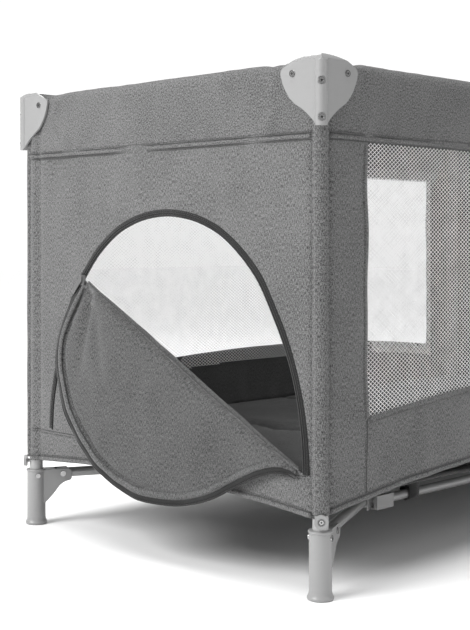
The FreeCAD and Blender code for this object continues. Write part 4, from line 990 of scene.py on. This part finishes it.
def floor_cloth():
    """Base cloth under the mattress, with a webbing loop round each floor bar."""
    half_x, half_y = WALL_X - FLOOR_GAP, WALL_Y - FLOOR_GAP
    low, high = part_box("floor_bar_door_front")
    bar_y = abs(low.y + high.y) / 2

    def drape(x, y):
        sag = 0.0012 * ripple(x, y, 0.22, 55)
        return np.stack([x, y, FLOOR_LEVEL - 0.0012 + np.clip(sag, -0.002, 0.0008)], -1)
    # the floor cloth takes the darker cloth: painted shade
    cloth = panel("floor_base", rounded_plan(half_x, half_y, FLOOR_CORNER), [], 0.016, drape, PAINTED_SHADE_CLOTH, thick=0.0012)
    pieces = []
    for corner, (sx, sy) in CORNERS.items():
        line = [(sy * bar_y - BAR_R, FLOOR_LEVEL - 0.003)]
        line += [(sy * bar_y + BAR_R * math.cos(t), BAR_Z + BAR_R * math.sin(t))
                 for t in np.radians(np.linspace(180, 360, 15))]
        line += [(sy * bar_y + BAR_R, FLOOR_LEVEL - 0.003)]
        line = resample(line, 0.004)
        path = np.stack([np.full(len(line), sx * LOOP_X), line[:, 0], line[:, 1]], -1)
        normal = np.cross(np.gradient(path, axis=0), (1.0, 0, 0))
        pieces.append(sweep("webbing_" + corner, path, normal, strip(2 * LOOP_HALF, 0.0014, out=-0.0007), WEBBING))
    for piece in (cloth, *pieces):
        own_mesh(piece)
        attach(piece, "hub")
    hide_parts("floor_cloth")


def pull_strap():
    """The strap on the hub that lifts it to fold the frame."""
    low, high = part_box("hub_pull_strap")
    x = np.linspace(low.x, high.x, 40)
    arch = 0.0022 * np.cos(math.pi * x / (high.x - low.x)) ** 2
    path = np.stack([x, np.zeros(40), low.z + arch * 0.3], -1)
    piece = sweep("pull_strap", path, (0, 0, 1), strip(high.y - low.y, 0.0016), WEBBING)
    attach(piece, "hub")
    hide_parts("hub_pull_strap")


for wall in WALLS:
    cloth, pieces = long_wall(wall) if wall in LONG_WALLS else end_wall(wall)
    if wall == "door":
        pieces += doorway()
    for piece in (cloth, *pieces):
        fold_with(piece, wall)
    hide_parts(WALLS[wall]["node"])
    roll, trims = band(wall)
    for piece in (roll, *trims):
        fold_with(piece, wall)
    if wall in LONG_WALLS:
        mesh = net(wall)
        fold_with(mesh, wall)
        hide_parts("net_window_" + wall)

for corner in CORNERS:
    sleeve(corner)
    screw_shade_rings(corner)

flap_cloth, flap_trims = flap()
for piece in (flap_cloth, *flap_trims):
    gather(piece)
    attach(piece, "door_flap")
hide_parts("door_flap")

slider()
mattress()
floor_cloth()
pull_strap()

# ---- stage, light and camera
def lamp(name, place, aim, size, power):
    """Square area light at a place, turned towards a point."""
    data = bpy.data.lights.new(name, "AREA")
    data.energy, data.size = power, size
    ob = bpy.data.objects.new(name, data)
    ob.location = place
    ob.rotation_euler = (Vector(aim) - Vector(place)).to_track_quat("-Z", "Y").to_euler()
    bpy.context.scene.collection.objects.link(ob)


def studio_white():
    tone = 0.93
    s = Shader("studio_white", Roughness=0.85, Specular_IOR_Level=0.2)
    s.colour(s.noise((3, 3, 3), 2.0, 0.5, cloth=False), [(0.3, tone * 0.99), (0.7, tone)])
    return s.mat


far = 14.0  # half width of the studio floor
floor = mesh_piece("studio_floor", [(-far, -far, 0), (far, -far, 0), (far, far, 0), (-far, far, 0)],
                   [(0, 1, 2, 3)], [(0, 0), (1, 0), (1, 1), (0, 1)], studio_white(), smooth=False)

scene = bpy.context.scene
world = bpy.data.worlds.new("studio")
scene.world = world
world.use_nodes = True
tree = world.node_tree
glow, seen = tree.nodes["Background"], tree.nodes.new("ShaderNodeBackground")
for node, strength in ((glow, 0.38), (seen, 1.05)):  # what lights the object, and what shows behind it
    node.inputs["Color"].default_value = (1, 1, 1, 1)
    node.inputs["Strength"].default_value = strength
path = tree.nodes.new("ShaderNodeLightPath")
mix = tree.nodes.new("ShaderNodeMixShader")
tree.links.new(path.outputs["Is Camera Ray"], mix.inputs["Fac"])
tree.links.new(glow.outputs[0], mix.inputs[1])
tree.links.new(seen.outputs[0], mix.inputs[2])
tree.links.new(mix.outputs[0], tree.nodes["World Output"].inputs["Surface"])
lamp("key", (-3.2, 0.6, 2.3), aim=(-0.5, 0, 0.4), size=1.8, power=125)
lamp("fill", (1.2, -3.6, 2.2), aim=(0, 0, 0.4), size=2.4, power=18)
sun = bpy.data.lights.new("overhead", "SUN")
sun.energy, sun.angle = 2.3, 0.9
scene.collection.objects.link(bpy.data.objects.new("overhead", sun))
lamp("rim", (1.8, 2.8, 2.6), aim=(0, 0, 0.5), size=2.0, power=25)
scene.view_settings.view_transform = "Standard"
scene.view_settings.look = "None"

CAMERA_AT = (-1.863, -1.4155, 0.480)
CAMERA_AIM = (0.708, 0.706, 0.0)
camera = bpy.data.cameras.new("camera")
camera.lens, camera.sensor_width, camera.shift_y = 71.8, 36.0, -0.122
view = bpy.data.objects.new("camera", camera)
view.location = CAMERA_AT
view.rotation_euler = Vector(CAMERA_AIM).to_track_quat("-Z", "Y").to_euler()
scene.collection.objects.link(view)
scene.camera = view
